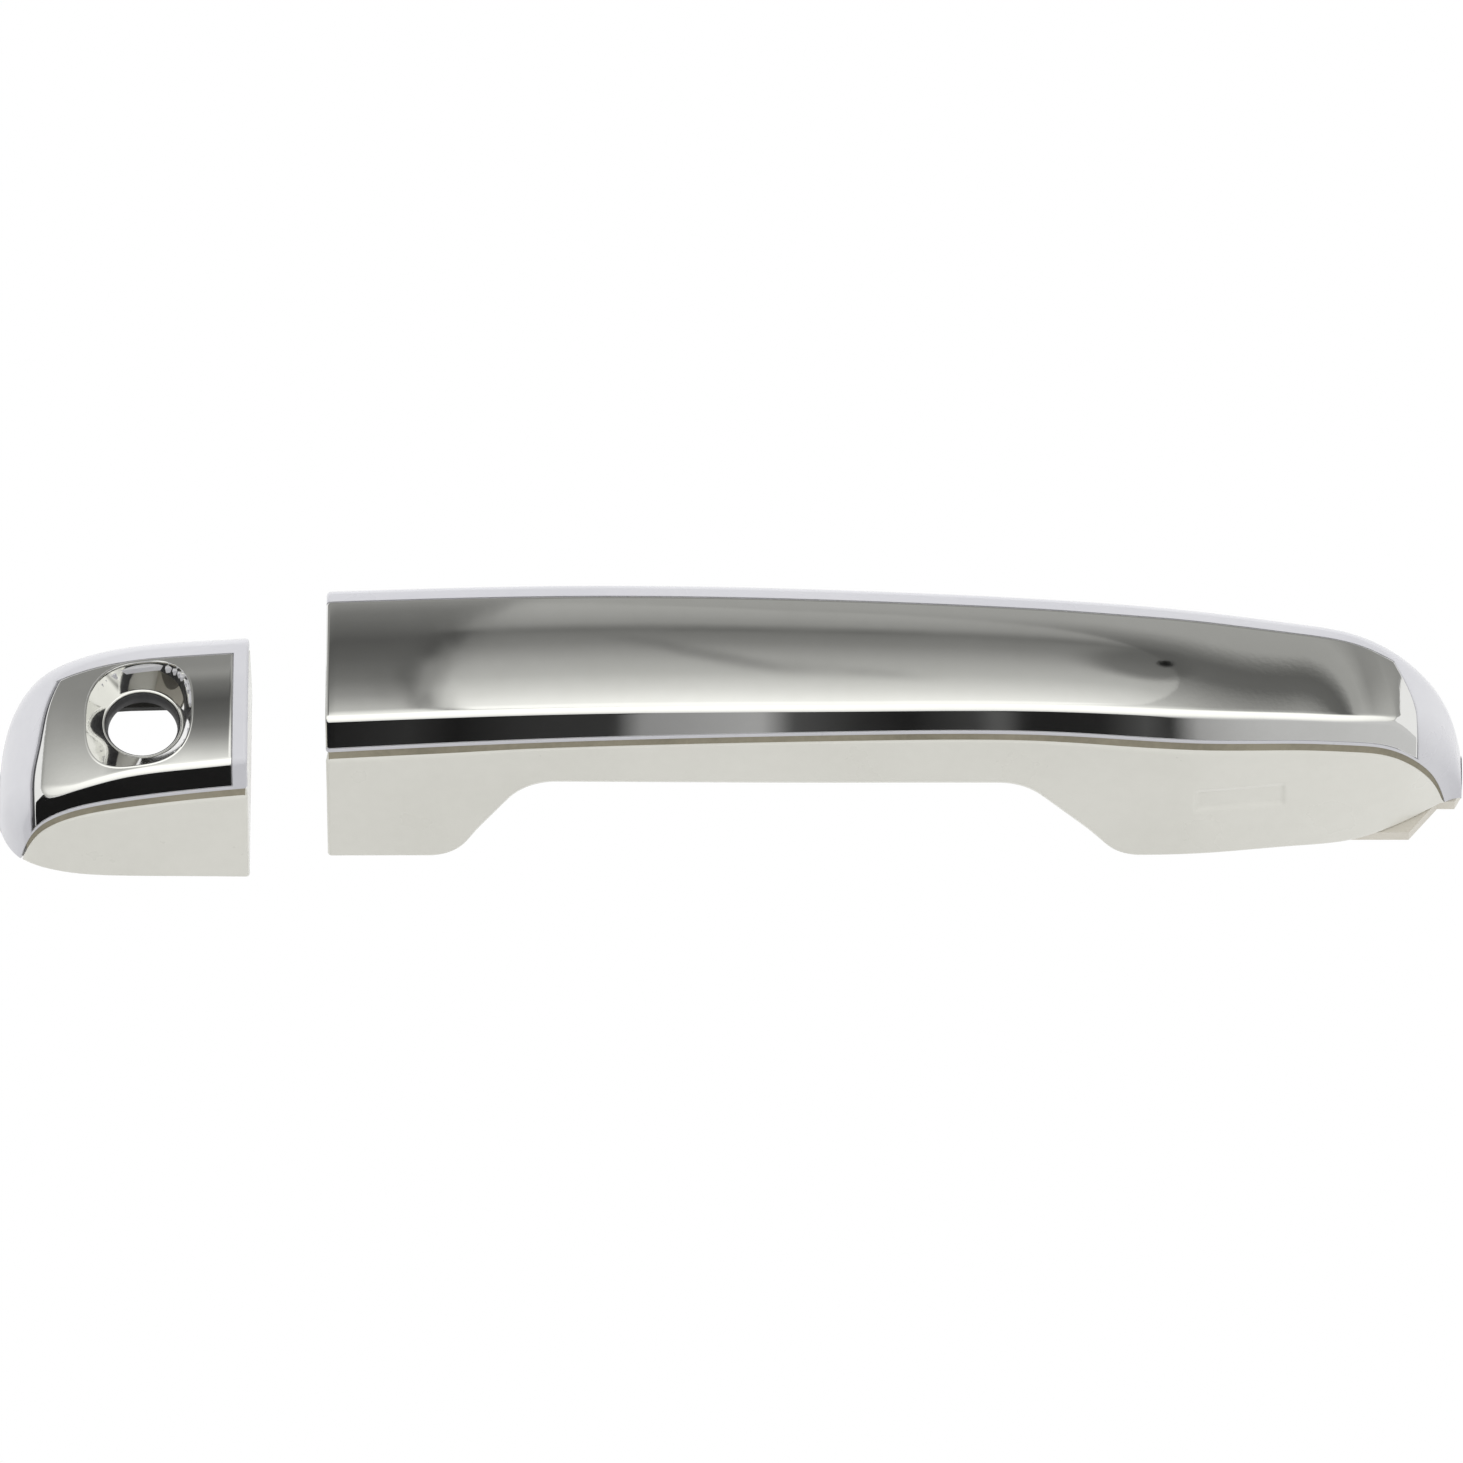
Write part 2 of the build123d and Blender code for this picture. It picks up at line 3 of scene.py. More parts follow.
import bmesh
import bpy
import numpy as np
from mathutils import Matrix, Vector


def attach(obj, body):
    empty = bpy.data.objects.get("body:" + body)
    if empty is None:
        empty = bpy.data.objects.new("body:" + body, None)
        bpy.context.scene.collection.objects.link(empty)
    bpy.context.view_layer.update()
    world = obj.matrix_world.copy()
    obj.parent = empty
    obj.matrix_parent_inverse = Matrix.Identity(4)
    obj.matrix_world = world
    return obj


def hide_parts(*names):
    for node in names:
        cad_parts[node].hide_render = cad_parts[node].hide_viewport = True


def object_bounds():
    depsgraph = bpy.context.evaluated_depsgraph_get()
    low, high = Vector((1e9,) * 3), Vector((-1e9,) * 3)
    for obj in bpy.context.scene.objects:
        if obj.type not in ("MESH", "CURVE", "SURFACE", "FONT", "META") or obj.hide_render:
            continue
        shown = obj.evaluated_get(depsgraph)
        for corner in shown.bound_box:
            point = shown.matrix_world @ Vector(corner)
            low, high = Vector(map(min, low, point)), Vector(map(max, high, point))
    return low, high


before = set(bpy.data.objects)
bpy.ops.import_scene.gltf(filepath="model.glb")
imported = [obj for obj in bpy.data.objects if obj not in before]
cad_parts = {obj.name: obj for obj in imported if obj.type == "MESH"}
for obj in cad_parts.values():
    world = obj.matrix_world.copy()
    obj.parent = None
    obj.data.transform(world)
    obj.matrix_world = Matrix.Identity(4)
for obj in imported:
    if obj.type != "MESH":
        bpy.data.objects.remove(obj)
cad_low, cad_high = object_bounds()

# Camera: a long lens from in front and above, square to the long side of the handle, so that the
# plated face and the near wall both show and the two pieces keep their true proportions.
ELEVATION = math.radians(58)
DISTANCE = 4.0
LENS = 529.8
AIM_UP = 0.00634
camera_data = bpy.data.cameras.new("camera")
camera_data.lens = LENS
camera_data.sensor_width = 36
camera_data.clip_start = 0.1
camera_data.clip_end = 50
camera = bpy.data.objects.new("camera", camera_data)
toward_camera = Vector((0, -math.cos(ELEVATION), math.sin(ELEVATION)))
camera_up = Vector((0, math.sin(ELEVATION), math.cos(ELEVATION)))
camera.location = camera_up * AIM_UP + toward_camera * DISTANCE
camera.rotation_euler = toward_camera.to_track_quat("Z", "Y").to_euler()
bpy.context.scene.collection.objects.link(camera)
bpy.context.scene.camera = camera
bpy.context.scene.view_settings.view_transform = "Standard"


# Floor: white paper lit from all round, just below the lowest part of the mechanism. Only reflections show
# a board lying on it in front, dark with lighter stripes, which gives the dark band under the crease.
# The stripes are fitted to the look wanted in that band.
def feed(tree, socket, value):
    """Puts a number, a grey or a colour on a socket, or links another socket to it."""
    if isinstance(value, bpy.types.NodeSocket):
        tree.links.new(value, socket)
    elif socket.type == "RGBA":
        colour = value if isinstance(value, tuple) else (value, value, value)
        socket.default_value = (*colour, 1)
    else:
        socket.default_value = value


def reckon(tree, operation, *values):
    """One step of arithmetic in a shader; each value is a number or a socket."""
    step = tree.nodes.new("ShaderNodeMath")
    step.operation = operation
    for socket, value in zip(step.inputs, values):
        feed(tree, socket, value)
    return step.outputs[0]


def blend(tree, share, first, second):
    """A colour that goes from first to second as share rises from 0 to 1."""
    node = tree.nodes.new("ShaderNodeMix")
    node.data_type = "RGBA"
    feed(tree, node.inputs["Factor"], share)
    feed(tree, node.inputs["A"], first)
    feed(tree, node.inputs["B"], second)
    return node.outputs["Result"]


def coordinates(tree, kind="Object"):
    """The X, Y and Z of a texture coordinate."""
    place = tree.nodes.new("ShaderNodeTexCoord")
    split = tree.nodes.new("ShaderNodeSeparateXYZ")
    tree.links.new(place.outputs[kind], split.inputs[0])
    return split.outputs


def flat_board(name, x_span, y_span, z):
    mesh = bpy.data.meshes.new(name)
    corners = [(x_span[0], y_span[0], z), (x_span[1], y_span[0], z), (x_span[1], y_span[1], z),
               (x_span[0], y_span[1], z)]
    mesh.from_pydata(corners, [], [(0, 1, 2, 3)])
    board = bpy.data.objects.new(name, mesh)
    bpy.context.scene.collection.objects.link(board)
    return board


def ramp(tree, value, stops):
    """Greys along a value, from (place, grey) stops."""
    node = tree.nodes.new("ShaderNodeValToRGB")
    tree.links.new(value, node.inputs[0])
    points = node.color_ramp.elements
    while len(points) < len(stops):
        points.new(0.5)
    for point, (place, grey) in zip(points, stops):
        point.position = place
        point.color = (grey, grey, grey, 1)
    return node.outputs[0]


FLOOR_GAP = 0.004
FLOOR_REACH = 8
BOARD_NEAR_Y, BOARD_FAR_Y = -0.62, -0.045
BOARD_STRIPES = [  # x and grey
    (-.2, .01), (-.08, .01), (-.061, .028), (-.052, .012), (-.040, .03), (-.022, .04), (-.017, .3),
    (.006, .42), (.012, .08), (.025, .03), (.035, .015), (.047, .05), (.051, .12), (.055, .015),
    (.068, .02), (.080, .08), (.088, .04), (.098, .4), (.120, .6), (.2, .7)]
BOARD_SCALE = 2.5
paper = flat_board("floor", (-FLOOR_REACH, FLOOR_REACH), (-FLOOR_REACH, FLOOR_REACH), cad_low.z - FLOOR_GAP)
paper_white = bpy.data.materials.new("white_paper")
paper_white.use_nodes = True
tree = paper_white.node_tree
tree.nodes.clear()
glow = tree.nodes.new("ShaderNodeEmission")
rays = tree.nodes.new("ShaderNodeLightPath")
across, along, up = coordinates(tree)
in_front = reckon(tree, "MULTIPLY", reckon(tree, "LESS_THAN", along, BOARD_FAR_Y),
                  reckon(tree, "GREATER_THAN", along, BOARD_NEAR_Y))
board_grey = ramp(tree, reckon(tree, "MULTIPLY_ADD", across, BOARD_SCALE, 0.5),
                  [(x * BOARD_SCALE + 0.5, grey) for x, grey in BOARD_STRIPES])
board_seen = reckon(tree, "MULTIPLY", rays.outputs["Is Glossy Ray"], in_front)
tree.links.new(blend(tree, board_seen, 1.0, board_grey), glow.inputs["Color"])
out = tree.nodes.new("ShaderNodeOutputMaterial")
tree.links.new(glow.outputs[0], out.inputs["Surface"])
paper.data.materials.append(paper_white)

# Studio: soft light from all round, stronger from behind. Reflections show a surround of their own instead,
# fitted to the bands wanted in the plating: a long soft box overhead with rounded ends, a grey wall behind
# it, a dark gap between the two, and a dark stand at the rear.
WARM_GREY = (1.0, 1.0, 0.965)
world = bpy.data.worlds.new("studio")
world.use_nodes = True
bpy.context.scene.world = world
sky = world.node_tree
DEGREES = 180 / math.pi
sky_x, sky_y, sky_z = coordinates(sky, "Generated")
height = reckon(sky, "MULTIPLY", reckon(sky, "ARCSINE", sky_z), DEGREES)
side = reckon(sky, "MULTIPLY", reckon(sky, "ARCTAN2", sky_x, sky_y), DEGREES)


def by_height(*stops):
    """Brightness by height above the horizon, from (degrees, grey) stops."""
    share = reckon(sky, "MULTIPLY_ADD", height, 1 / 180, 0.5)
    return ramp(sky, share, [((degrees + 90) / 180, grey) for degrees, grey in stops])


def span_of(tree, value, low, high, to_low=0.0, to_high=1.0, curve="LINEAR"):
    """A value stretched from one span to another and held at its ends."""
    node = tree.nodes.new("ShaderNodeMapRange")
    node.interpolation_type = curve
    feed(tree, node.inputs["Value"], value)
    for label, limit in (("From Min", low), ("From Max", high), ("To Min", to_low), ("To Max", to_high)):
        feed(tree, node.inputs[label], limit)
    return node.outputs[0]


def rise(value, low, high):
    """0 below low, 1 above high, and a smooth rise between."""
    return span_of(sky, value, low, high, curve="SMOOTHSTEP")


def fall(value, low, high):
    return reckon(sky, "SUBTRACT", 1.0, rise(value, low, high))


def both(first, second):
    return reckon(sky, "MULTIPLY", first, second)


def leaning_line(foot, foot_side, lean):
    """The side, in degrees, of a line that leans as it climbs from its foot."""
    return reckon(sky, "MULTIPLY_ADD", reckon(sky, "SUBTRACT", height, foot), lean, foot_side)


def spot(at_side, at_height, half_wide, half_high):
    """A soft round patch of sky, 1 in the middle and 0 outside."""
    across = reckon(sky, "DIVIDE", reckon(sky, "SUBTRACT", side, at_side), half_wide)
    up = reckon(sky, "DIVIDE", reckon(sky, "SUBTRACT", height, at_height), half_high)
    away = reckon(sky, "ADD", both(across, across), both(up, up))
    return rise(reckon(sky, "MULTIPLY", away, -1.0), -1.0, -0.25)


box_face = by_height((0, .30), (20, .34), (38, .42), (44, .46), (46.5, .38), (48.2, .30), (48.9, .13),
                     (49.5, .20), (52, .26), (55.5, .44), (58.5, .56), (62, .85), (66, 1.3), (90, 1.4))
wall_right = by_height((0, .30), (12, .34), (30, .30), (38, .42), (44, .40), (47, .20), (49, .13), (53, .15),
                       (57, .34), (60, .50), (64, .85), (68, 1.2), (90, 1.4))
wall_left = by_height((0, .30), (38, .30), (41, .34), (44, .20), (48, .13), (50, .10), (54, .13), (58, .20),
                      (61, .34), (64, .62), (67, 1.0), (90, 1.3))
BOX_MIDDLE, BOX_BULGE, BOX_END, BOX_SOFT = 57.3, -0.125, 20.3, 0.5
from_middle = reckon(sky, "SUBTRACT", height, BOX_MIDDLE)
box_end = reckon(sky, "MULTIPLY_ADD", both(from_middle, from_middle), BOX_BULGE, BOX_END)
past_box = rise(side, reckon(sky, "ADD", box_end, -BOX_SOFT), reckon(sky, "ADD", box_end, BOX_SOFT))
light = blend(sky, past_box, box_face, wall_right)
from_stand = reckon(sky, "SUBTRACT", side, leaning_line(48.3, -7.2, -0.37))
above_gap = rise(height, 48.4, 49.2)
light = blend(sky, fall(from_stand, -0.35, -0.2), light, wall_left)
stand_edge = both(both(rise(from_stand, 0.0, 0.1), above_gap), fall(from_stand, 0.35, 0.75))
light = blend(sky, both(stand_edge, 0.55), light, 0.26)
on_stand = both(both(rise(from_stand, -0.45, -0.3), above_gap), fall(from_stand, -0.05, 0.12))
DARK = 0.004
light = blend(sky, on_stand, light, DARK)
off_fold = reckon(sky, "ABSOLUTE", reckon(sky, "SUBTRACT", side, leaning_line(51.5, -2.9, 0.43)))
fold = both(fall(off_fold, 0.1, 0.9), both(rise(height, 49.5, 52), fall(height, 57, 60.5)))
light = blend(sky, both(fold, 0.6), light, 0.15)
light = blend(sky, both(spot(14.0, 52.5, 8.0, 4.5), 0.7), light, 0.11)
light = blend(sky, spot(15.9, 51.6, 1.3, 1.0), light, DARK)
front_sky = by_height((0, .5), (4, 1.0), (25, 1.25), (60, 1.4), (90, 1.4))
light = blend(sky, rise(reckon(sky, "ABSOLUTE", side), 45, 90), light, front_sky)
tint = sky.nodes.new("ShaderNodeMix")
tint.data_type = "RGBA"
tint.blend_type = "MULTIPLY"
feed(sky, tint.inputs["Factor"], 1)
feed(sky, tint.inputs["A"], light)
feed(sky, tint.inputs["B"], WARM_GREY)
soft_sky = blend(sky, rise(sky_y, -0.1, 0.7), by_height((-90, .9), (0, .9), (30, .97), (90, 1.2)),
                 by_height((-90, 1.1), (0, 1.5), (40, 1.75), (90, 1.35)))
rays = sky.nodes.new("ShaderNodeLightPath")
seen = blend(sky, rays.outputs["Is Glossy Ray"], soft_sky, tint.outputs["Result"])
seen = blend(sky, rays.outputs["Is Camera Ray"], seen, 1.0)
sky.links.new(seen, sky.nodes["Background"].inputs["Color"])

# Skin of the grips: both the handle and the key cap are mouldings strung on smooth curves along X.
# Each cross-section is a leaning near wall, a tight crease, a crowned face and a rounded far rim.
MM = 0.001
NEAR_LEAN = 0.20
FACE_DROP = 1.4
LIP = 0.9
SEAM_GAP = 1.5


def smooth_run(knots, count=12000):
    """A fine run of points on the natural cubic curve through the knots."""
    knots = np.array(knots, float)
    at_knot = np.concatenate([[0], np.cumsum(np.linalg.norm(np.diff(knots, axis=0), axis=1))])
    step = np.diff(at_knot)
    weights, pull = np.eye(len(knots)), np.zeros_like(knots)
    for i in range(1, len(knots) - 1):
        weights[i, i - 1:i + 2] = step[i - 1], 2 * (step[i - 1] + step[i]), step[i]
        pull[i] = 6 * ((knots[i + 1] - knots[i]) / step[i] - (knots[i] - knots[i - 1]) / step[i - 1])
    bend = np.linalg.solve(weights, pull)
    at = np.linspace(0, at_knot[-1], count)
    i = np.clip(np.searchsorted(at_knot, at, side="right") - 1, 0, len(step) - 1)
    after, before, gap = (at_knot[i + 1] - at)[:, None], (at - at_knot[i])[:, None], step[i][:, None]
    return ((bend[i] * after ** 3 + bend[i + 1] * before ** 3) / (6 * gap)
            + (knots[i] / gap - bend[i] * gap / 6) * after
            + (knots[i + 1] / gap - bend[i + 1] * gap / 6) * before)


def ease(value, low, high):
    """0 below low, 1 above high, and a smooth rise between."""
    t = np.clip((np.asarray(value, float) - low) / (high - low), 0, 1)
    return t * t * (3 - 2 * t)


class Skin:
    """The outer surface shared by one grip's mouldings, in millimetres.

    A place on it is x and a number v that goes round the section: 0 at the near seam, 1 at the
    plating's lower edge, 2 to 3 round the crease, 4 at the plating's far edge, 5 to 6 round the
    far rim and 7 at the far seam.
    """

    def __init__(self, stations, seam, far_lean, crease_round, rim_round, plate_edge, crown_share):
        self.run = smooth_run(stations)
        self.seam = smooth_run(seam)
        self.far_lean, self.crown_share = far_lean, crown_share
        self.crease_round, self.rim_round = crease_round, rim_round
        self.plate_edge = smooth_run(plate_edge)
        if self.seam[0, 0] > self.seam[-1, 0]:
            self.seam = self.seam[::-1]
        if self.plate_edge[0, 0] > self.plate_edge[-1, 0]:
            self.plate_edge = self.plate_edge[::-1]

    def ends(self):
        return self.run[0, 0], self.run[-1, 0]

    def across(self, x):
        """Near edge, far edge and crease height at x."""
        return [np.interp(x, self.run[:, 0], self.run[:, k]) for k in (1, 2, 3)]

    def seam_z(self, x):
        return np.maximum(np.interp(x, self.seam[:, 0], self.seam[:, 1]), 0)

    def face(self, x):
        """The crease point, the rim point and the crown's rise at x."""
        near, far, crease = self.across(x)
        rim = crease - np.minimum(FACE_DROP, 0.1 * crease)
        crease_y, rim_y = near + NEAR_LEAN * crease, far - self.far_lean * rim
        return crease_y, crease, rim_y, rim, self.crown_share * (rim_y - crease_y)

    def face_point(self, x, share):
        crease_y, crease, rim_y, rim, crown = self.face(x)
        return (crease_y + (rim_y - crease_y) * share,
                crease + (rim - crease) * share + 4 * crown * share * (1 - share))

    def face_z(self, x, y):
        """Height of the crowned face over a plan point."""
        crease_y, crease, rim_y, rim, crown = self.face(x)
        return self.face_point(x, (y - crease_y) / (rim_y - crease_y))[1]

    def point(self, x, v):
        """The surface points, shape (..., 3), for arrays of x and v."""
        x, v = np.broadcast_arrays(np.asarray(x, float), np.asarray(v, float))
        near, far, crease = self.across(x)
        crease_y, crease, rim_y, rim, crown = self.face(x)
        width = rim_y - crease_y
        seam = self.seam_z(x)
        fillet = np.minimum(self.crease_round(x), 0.45 * np.minimum(crease, width))
        rim_fillet = np.minimum(self.rim_round(x), 0.45 * np.minimum(rim, width))
        wall_top = crease - fillet
        lip_top = np.minimum(seam + LIP, (seam + wall_top) / 2)
        share_n, share_f = fillet / width, 1 - rim_fillet / width
        plate = (np.interp(x, self.plate_edge[:, 0], self.plate_edge[:, 1]) - crease_y) / width
        plate = np.clip(plate, share_n + 0.1 * (share_f - share_n), share_f - 0.02)
        y, z = np.zeros_like(x), np.zeros_like(x)

        def fill(low, high, points):
            at = (v >= low) & (v <= high)
            y[at], z[at] = points[0][at], points[1][at]

        def corner(t, a, a_way, b, b_way, reach):
            """A cubic corner from a to b that leaves and arrives along the two unit ways."""
            k = 0.6 * reach
            return [(1 - t) ** 3 * a[i] + 3 * (1 - t) ** 2 * t * (a[i] + k * a_way[i])
                    + 3 * (1 - t) * t ** 2 * (b[i] - k * b_way[i]) + t ** 3 * b[i] for i in (0, 1)]

        def slope_way(share):
            dy, dz = width, (rim - crease) + 4 * crown * (1 - 2 * share)
            length = np.hypot(dy, dz)
            return dy / length, dz / length

        t = np.clip(v, 0, 1)
        wall_z = seam + (lip_top - seam) * t
        fill(-1, 1, (near + NEAR_LEAN * wall_z, wall_z))
        wall_z = lip_top + (wall_top - lip_top) * np.clip(v - 1, 0, 1)
        fill(1, 2, (near + NEAR_LEAN * wall_z, wall_z))
        up = np.hypot(NEAR_LEAN, 1)
        foot = (near + NEAR_LEAN * wall_top, wall_top)
        head = self.face_point(x, share_n)
        fill(2, 3, corner(np.clip(v - 2, 0, 1), foot, (NEAR_LEAN / up, 1 / up), head, slope_way(share_n),
                          fillet))
        fill(3, 4, self.face_point(x, share_n + (plate - share_n) * np.clip(v - 3, 0, 1)))
        fill(4, 5, self.face_point(x, plate + (share_f - plate) * np.clip(v - 4, 0, 1)))
        down = np.hypot(self.far_lean, 1)
        low_z = rim - rim_fillet
        foot = self.face_point(x, share_f)
        head = (far - self.far_lean * low_z, low_z)
        fill(5, 6, corner(np.clip(v - 5, 0, 1), foot, slope_way(share_f), head,
                          (self.far_lean / down, -1 / down), rim_fillet))
        bottom = np.minimum(seam, low_z - 0.1)
        wall_z = low_z + (bottom - low_z) * np.clip(v - 6, 0, 1)
        fill(6, 8, (far - self.far_lean * wall_z, wall_z))
        return np.stack([x, y, z], axis=-1)


def sunk(surface, x, v, depth, x_span, v_span):
    """Points of a surface of x and v, moved inwards by a depth; all three are arrays."""
    x, v, depth = np.broadcast_arrays(np.asarray(x, float), np.asarray(v, float), np.asarray(depth, float))
    along = surface(np.minimum(x + 0.05, x_span[1]), v) - surface(np.maximum(x - 0.05, x_span[0]), v)
    around = (surface(x, np.minimum(v + 0.004, v_span[1])) - surface(x, np.maximum(v - 0.004, v_span[0])))
    out = np.cross(along, around)
    out /= np.maximum(np.linalg.norm(out, axis=-1, keepdims=True), 1e-9)
    return surface(x, v) - out * depth[..., None]


def rounding(distance, radius):
    """How far a quarter-round edge lies under the face, at a distance in from the edge."""
    left = np.clip(radius - distance, 0, radius)
    return radius - np.sqrt(radius ** 2 - left ** 2)


def moulding(name, outer, inner, body, slot, material, *stands_for, opening=None):
    """A closed moulding between an outer and an inner grid of points, riding on a body.

    opening, where given, says which squares of the grid are cut right through.
    """
    columns, rows = outer.shape[:2]
    index = np.arange(columns * rows).reshape(columns, rows)
    squares = np.stack([index[:-1, :-1], index[1:, :-1], index[1:, 1:], index[:-1, 1:]], -1)
    kept = np.ones(squares.shape[:2], bool) if opening is None else ~opening
    quads = squares[kept]
    back = quads[:, ::-1] + columns * rows
    sides = np.concatenate([quads[:, [k, (k + 1) % 4]] for k in range(4)])
    taken = set(map(tuple, sides.tolist()))
    border = np.array([side for side in sides.tolist() if (side[1], side[0]) not in taken])
    below = border + columns * rows
    rim = np.stack([border[:, 1], border[:, 0], below[:, 0], below[:, 1]], -1)
    mesh = bpy.data.meshes.new(name)
    places = np.concatenate([outer.reshape(-1, 3), inner.reshape(-1, 3)]) * MM
    mesh.from_pydata(places.tolist(), [], np.concatenate([quads, back, rim]).tolist())
    return finish_piece(name, mesh, body, slot, material, *stands_for)


def finish_piece(name, mesh, body, slot, material, *stands_for):
    """Welds the mesh, shades it smooth up to its sharp edges, and fixes the piece to its body."""
    form = bmesh.new()
    form.from_mesh(mesh)
    bmesh.ops.delete(form, geom=[point for point in form.verts if not point.link_faces], context="VERTS")
    bmesh.ops.remove_doubles(form, verts=form.verts, dist=2e-6)
    bmesh.ops.dissolve_degenerate(form, edges=form.edges, dist=1e-6)
    form.to_mesh(mesh)
    form.free()
    mesh.polygons.foreach_set("use_smooth", [True] * len(mesh.polygons))
    mesh.set_sharp_from_angle(angle=math.radians(38))
    mesh.materials.append(material)
    piece = bpy.data.objects.new(name, mesh)
    bpy.context.scene.collection.objects.link(piece)
    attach(piece, body)
    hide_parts(*stands_for)
    return piece


def steps(*stretches):
    """Values along a line: each stretch is (from, to, count), and shared ends appear once."""
    runs = [np.linspace(low, high, count + 1) for low, high, count in stretches]
    return np.unique(np.round(np.concatenate(runs), 7))


# Painted upper shell of the handle, moulded in plastic and painted white: it wraps the nose, shows a
# thin lip under the plating and a wide rounded rim beyond it, and holds the plating in a pocket.
HANDLE_STATIONS = [  # x, near edge and far edge at the skin, height of the crease
    (-74.8, -20.0, 21.4, 36.3), (-29.0, -19.9, 21.6, 38.4), (24.0, -19.8, 20.2, 39.0),
    (60.0, -19.7, 18.3, 38.8), (87.0, -19.5, 16.6, 37.0), (104.0, -17.9, 15.4, 34.4),
    (115.0, -16.5, 14.2, 32.2), (122.0, -13.9, 12.4, 28.6), (127.5, -11.0, 10.6, 22.6),
    (131.8, -8.4, 8.4, 15.0), (134.2, -7.4, 5.0, 9.0), (135.5, -7.2, 0.0, 4.0)]
HANDLE_SEAM = [(-80, 27.2), (-54, 29.0), (24, 32.0), (68, 31.2), (102, 27.6), (119, 23.2), (126.5, 15.2),
               (130.6, 7.0), (132.6, -1)]
PLATE_FAR_EDGE = [(-80, 15.0), (-39, 14.5), (2, 13.5), (46, 11.3), (87, 9.0), (112, 8.0), (121.8, 6.2)]
PLATE_NOSE_EDGE = [(121.8, 6.2), (124.9, 1.6), (126.7, -5), (127.0, -13), (126.2, -24)]
POCKET = 1.3
GROOVE_ROUND = 0.22
LIP_FOOT_ROUND, RIM_FOOT_ROUND = 0.3, 0.5
handle_skin = Skin(HANDLE_STATIONS, HANDLE_SEAM, 0.12, lambda x: 1.1 + 4.5 * ease(x, 121, 132),
                   lambda x: 3.0 + 0 * x, PLATE_FAR_EDGE, 0.030)
HANDLE_LEFT, HANDLE_TIP = handle_skin.ends()
nose_edge = smooth_run(PLATE_NOSE_EDGE)[::-1]
NOSE_X = 124.5


def plate_end(v):
    """x of the plating's nose end, for each place round the section."""
    y = handle_skin.point(NOSE_X, np.clip(v, 1, 4))[..., 1]
    return np.where(v > 4, PLATE_FAR_EDGE[-1][0], np.interp(y, nose_edge[:, 1], nose_edge[:, 0]))


def end_wall(surface, v, x_end, way, depth, wall, roll, spans):
    """Outer and inner columns that roll over an end and close it with a wall down to a straight chord.

    way is +1 at a left end and -1 at a right one; the columns come in the order of rising x.
    """
    def ring(sink_by):
        points = sunk(surface, x_end + way * sink_by, v, sink_by, *spans)
        points[:, 0] = x_end + way * sink_by
        return points

    def towards_chord(points, share):
        along = np.linspace(0, 1, len(v))[:, None]
        return points * (1 - share) + (points[0] * (1 - along) + points[-1] * along) * share

    outer, inner = [], []
    outer_ring, inner_ring = ring(depth + roll), ring(np.maximum(depth, wall) + 0 * v)
    outer_ring[:, 0] = x_end + way * depth
    for turn in np.radians([82.0, 66, 50, 34, 18]):
        x = x_end + way * (depth + roll * (1 - math.cos(turn)))
        outer.append(sunk(surface, x, v, depth + roll * (1 - math.sin(turn)), *spans))
        inner.append(inner_ring)
    for share in np.linspace(0, 1, 7):
        outer.append(towards_chord(outer_ring, share))
        inner.append(towards_chord(inner_ring, share))
    if way > 0:
        outer, inner = outer[::-1], inner[::-1]
    return np.stack(outer), np.stack(inner)


def edge_run(length, fine=0.34):
    """Shares of a stretch, closely spaced over the fine millimetres at its start."""
    near_edge = fine * np.array([0, 0.01, 0.06, 0.16, 0.32, 0.55, 0.8, 1.0]) / length
    return np.concatenate([near_edge, near_edge[-1] + (1 - near_edge[-1]) * np.linspace(0.06, 1, 14)])


def effect(name, inputs, outputs):
    """A node group for one surface effect; returns it with its given values and its results."""
    group = bpy.data.node_groups.new(name, "ShaderNodeTree")
    for label, kind, value in inputs:
        group.interface.new_socket(label, in_out="INPUT", socket_type=kind).default_value = value
    for label, kind in outputs:
        group.interface.new_socket(label, in_out="OUTPUT", socket_type=kind)
    return group, group.nodes.new("NodeGroupInput").outputs, group.nodes.new("NodeGroupOutput").inputs


def noise(tree, scale, detail=3.0, stretch=(1, 1, 1), away=0.0):
    """Cloudy noise in the piece's own coordinates, with scale in features to the metre."""
    place = tree.nodes.new("ShaderNodeTexCoord")
    spread = tree.nodes.new("ShaderNodeVectorMath")
    spread.operation = "MULTIPLY_ADD"
    tree.links.new(place.outputs["Object"], spread.inputs[0])
    spread.inputs[1].default_value = stretch
    spread.inputs[2].default_value = (away, away, away)
    cloud = tree.nodes.new("ShaderNodeTexNoise")
    tree.links.new(spread.outputs[0], cloud.inputs["Vector"])
    cloud.inputs["Detail"].default_value = detail
    feed(tree, cloud.inputs["Scale"], scale)
    return cloud.outputs[0]


NUMBER, COLOUR = "NodeSocketFloat", "NodeSocketColor"
WHITE = (1, 1, 1, 1)
TONE_DRIFT, given, result = effect("tone_drift", [("First", COLOUR, WHITE), ("Second", COLOUR, WHITE),
                                                  ("Scale", NUMBER, 30.0)], [("Colour", COLOUR)])
broad = noise(TONE_DRIFT, given["Scale"], 4.0)
fine = noise(TONE_DRIFT, reckon(TONE_DRIFT, "MULTIPLY", given["Scale"], 17.0), 2.0, away=3.0)
share = span_of(TONE_DRIFT, reckon(TONE_DRIFT, "MULTIPLY_ADD", fine, 0.35, broad), 0.5, 0.85)
TONE_DRIFT.links.new(blend(TONE_DRIFT, share, given["First"], given["Second"]), result["Colour"])

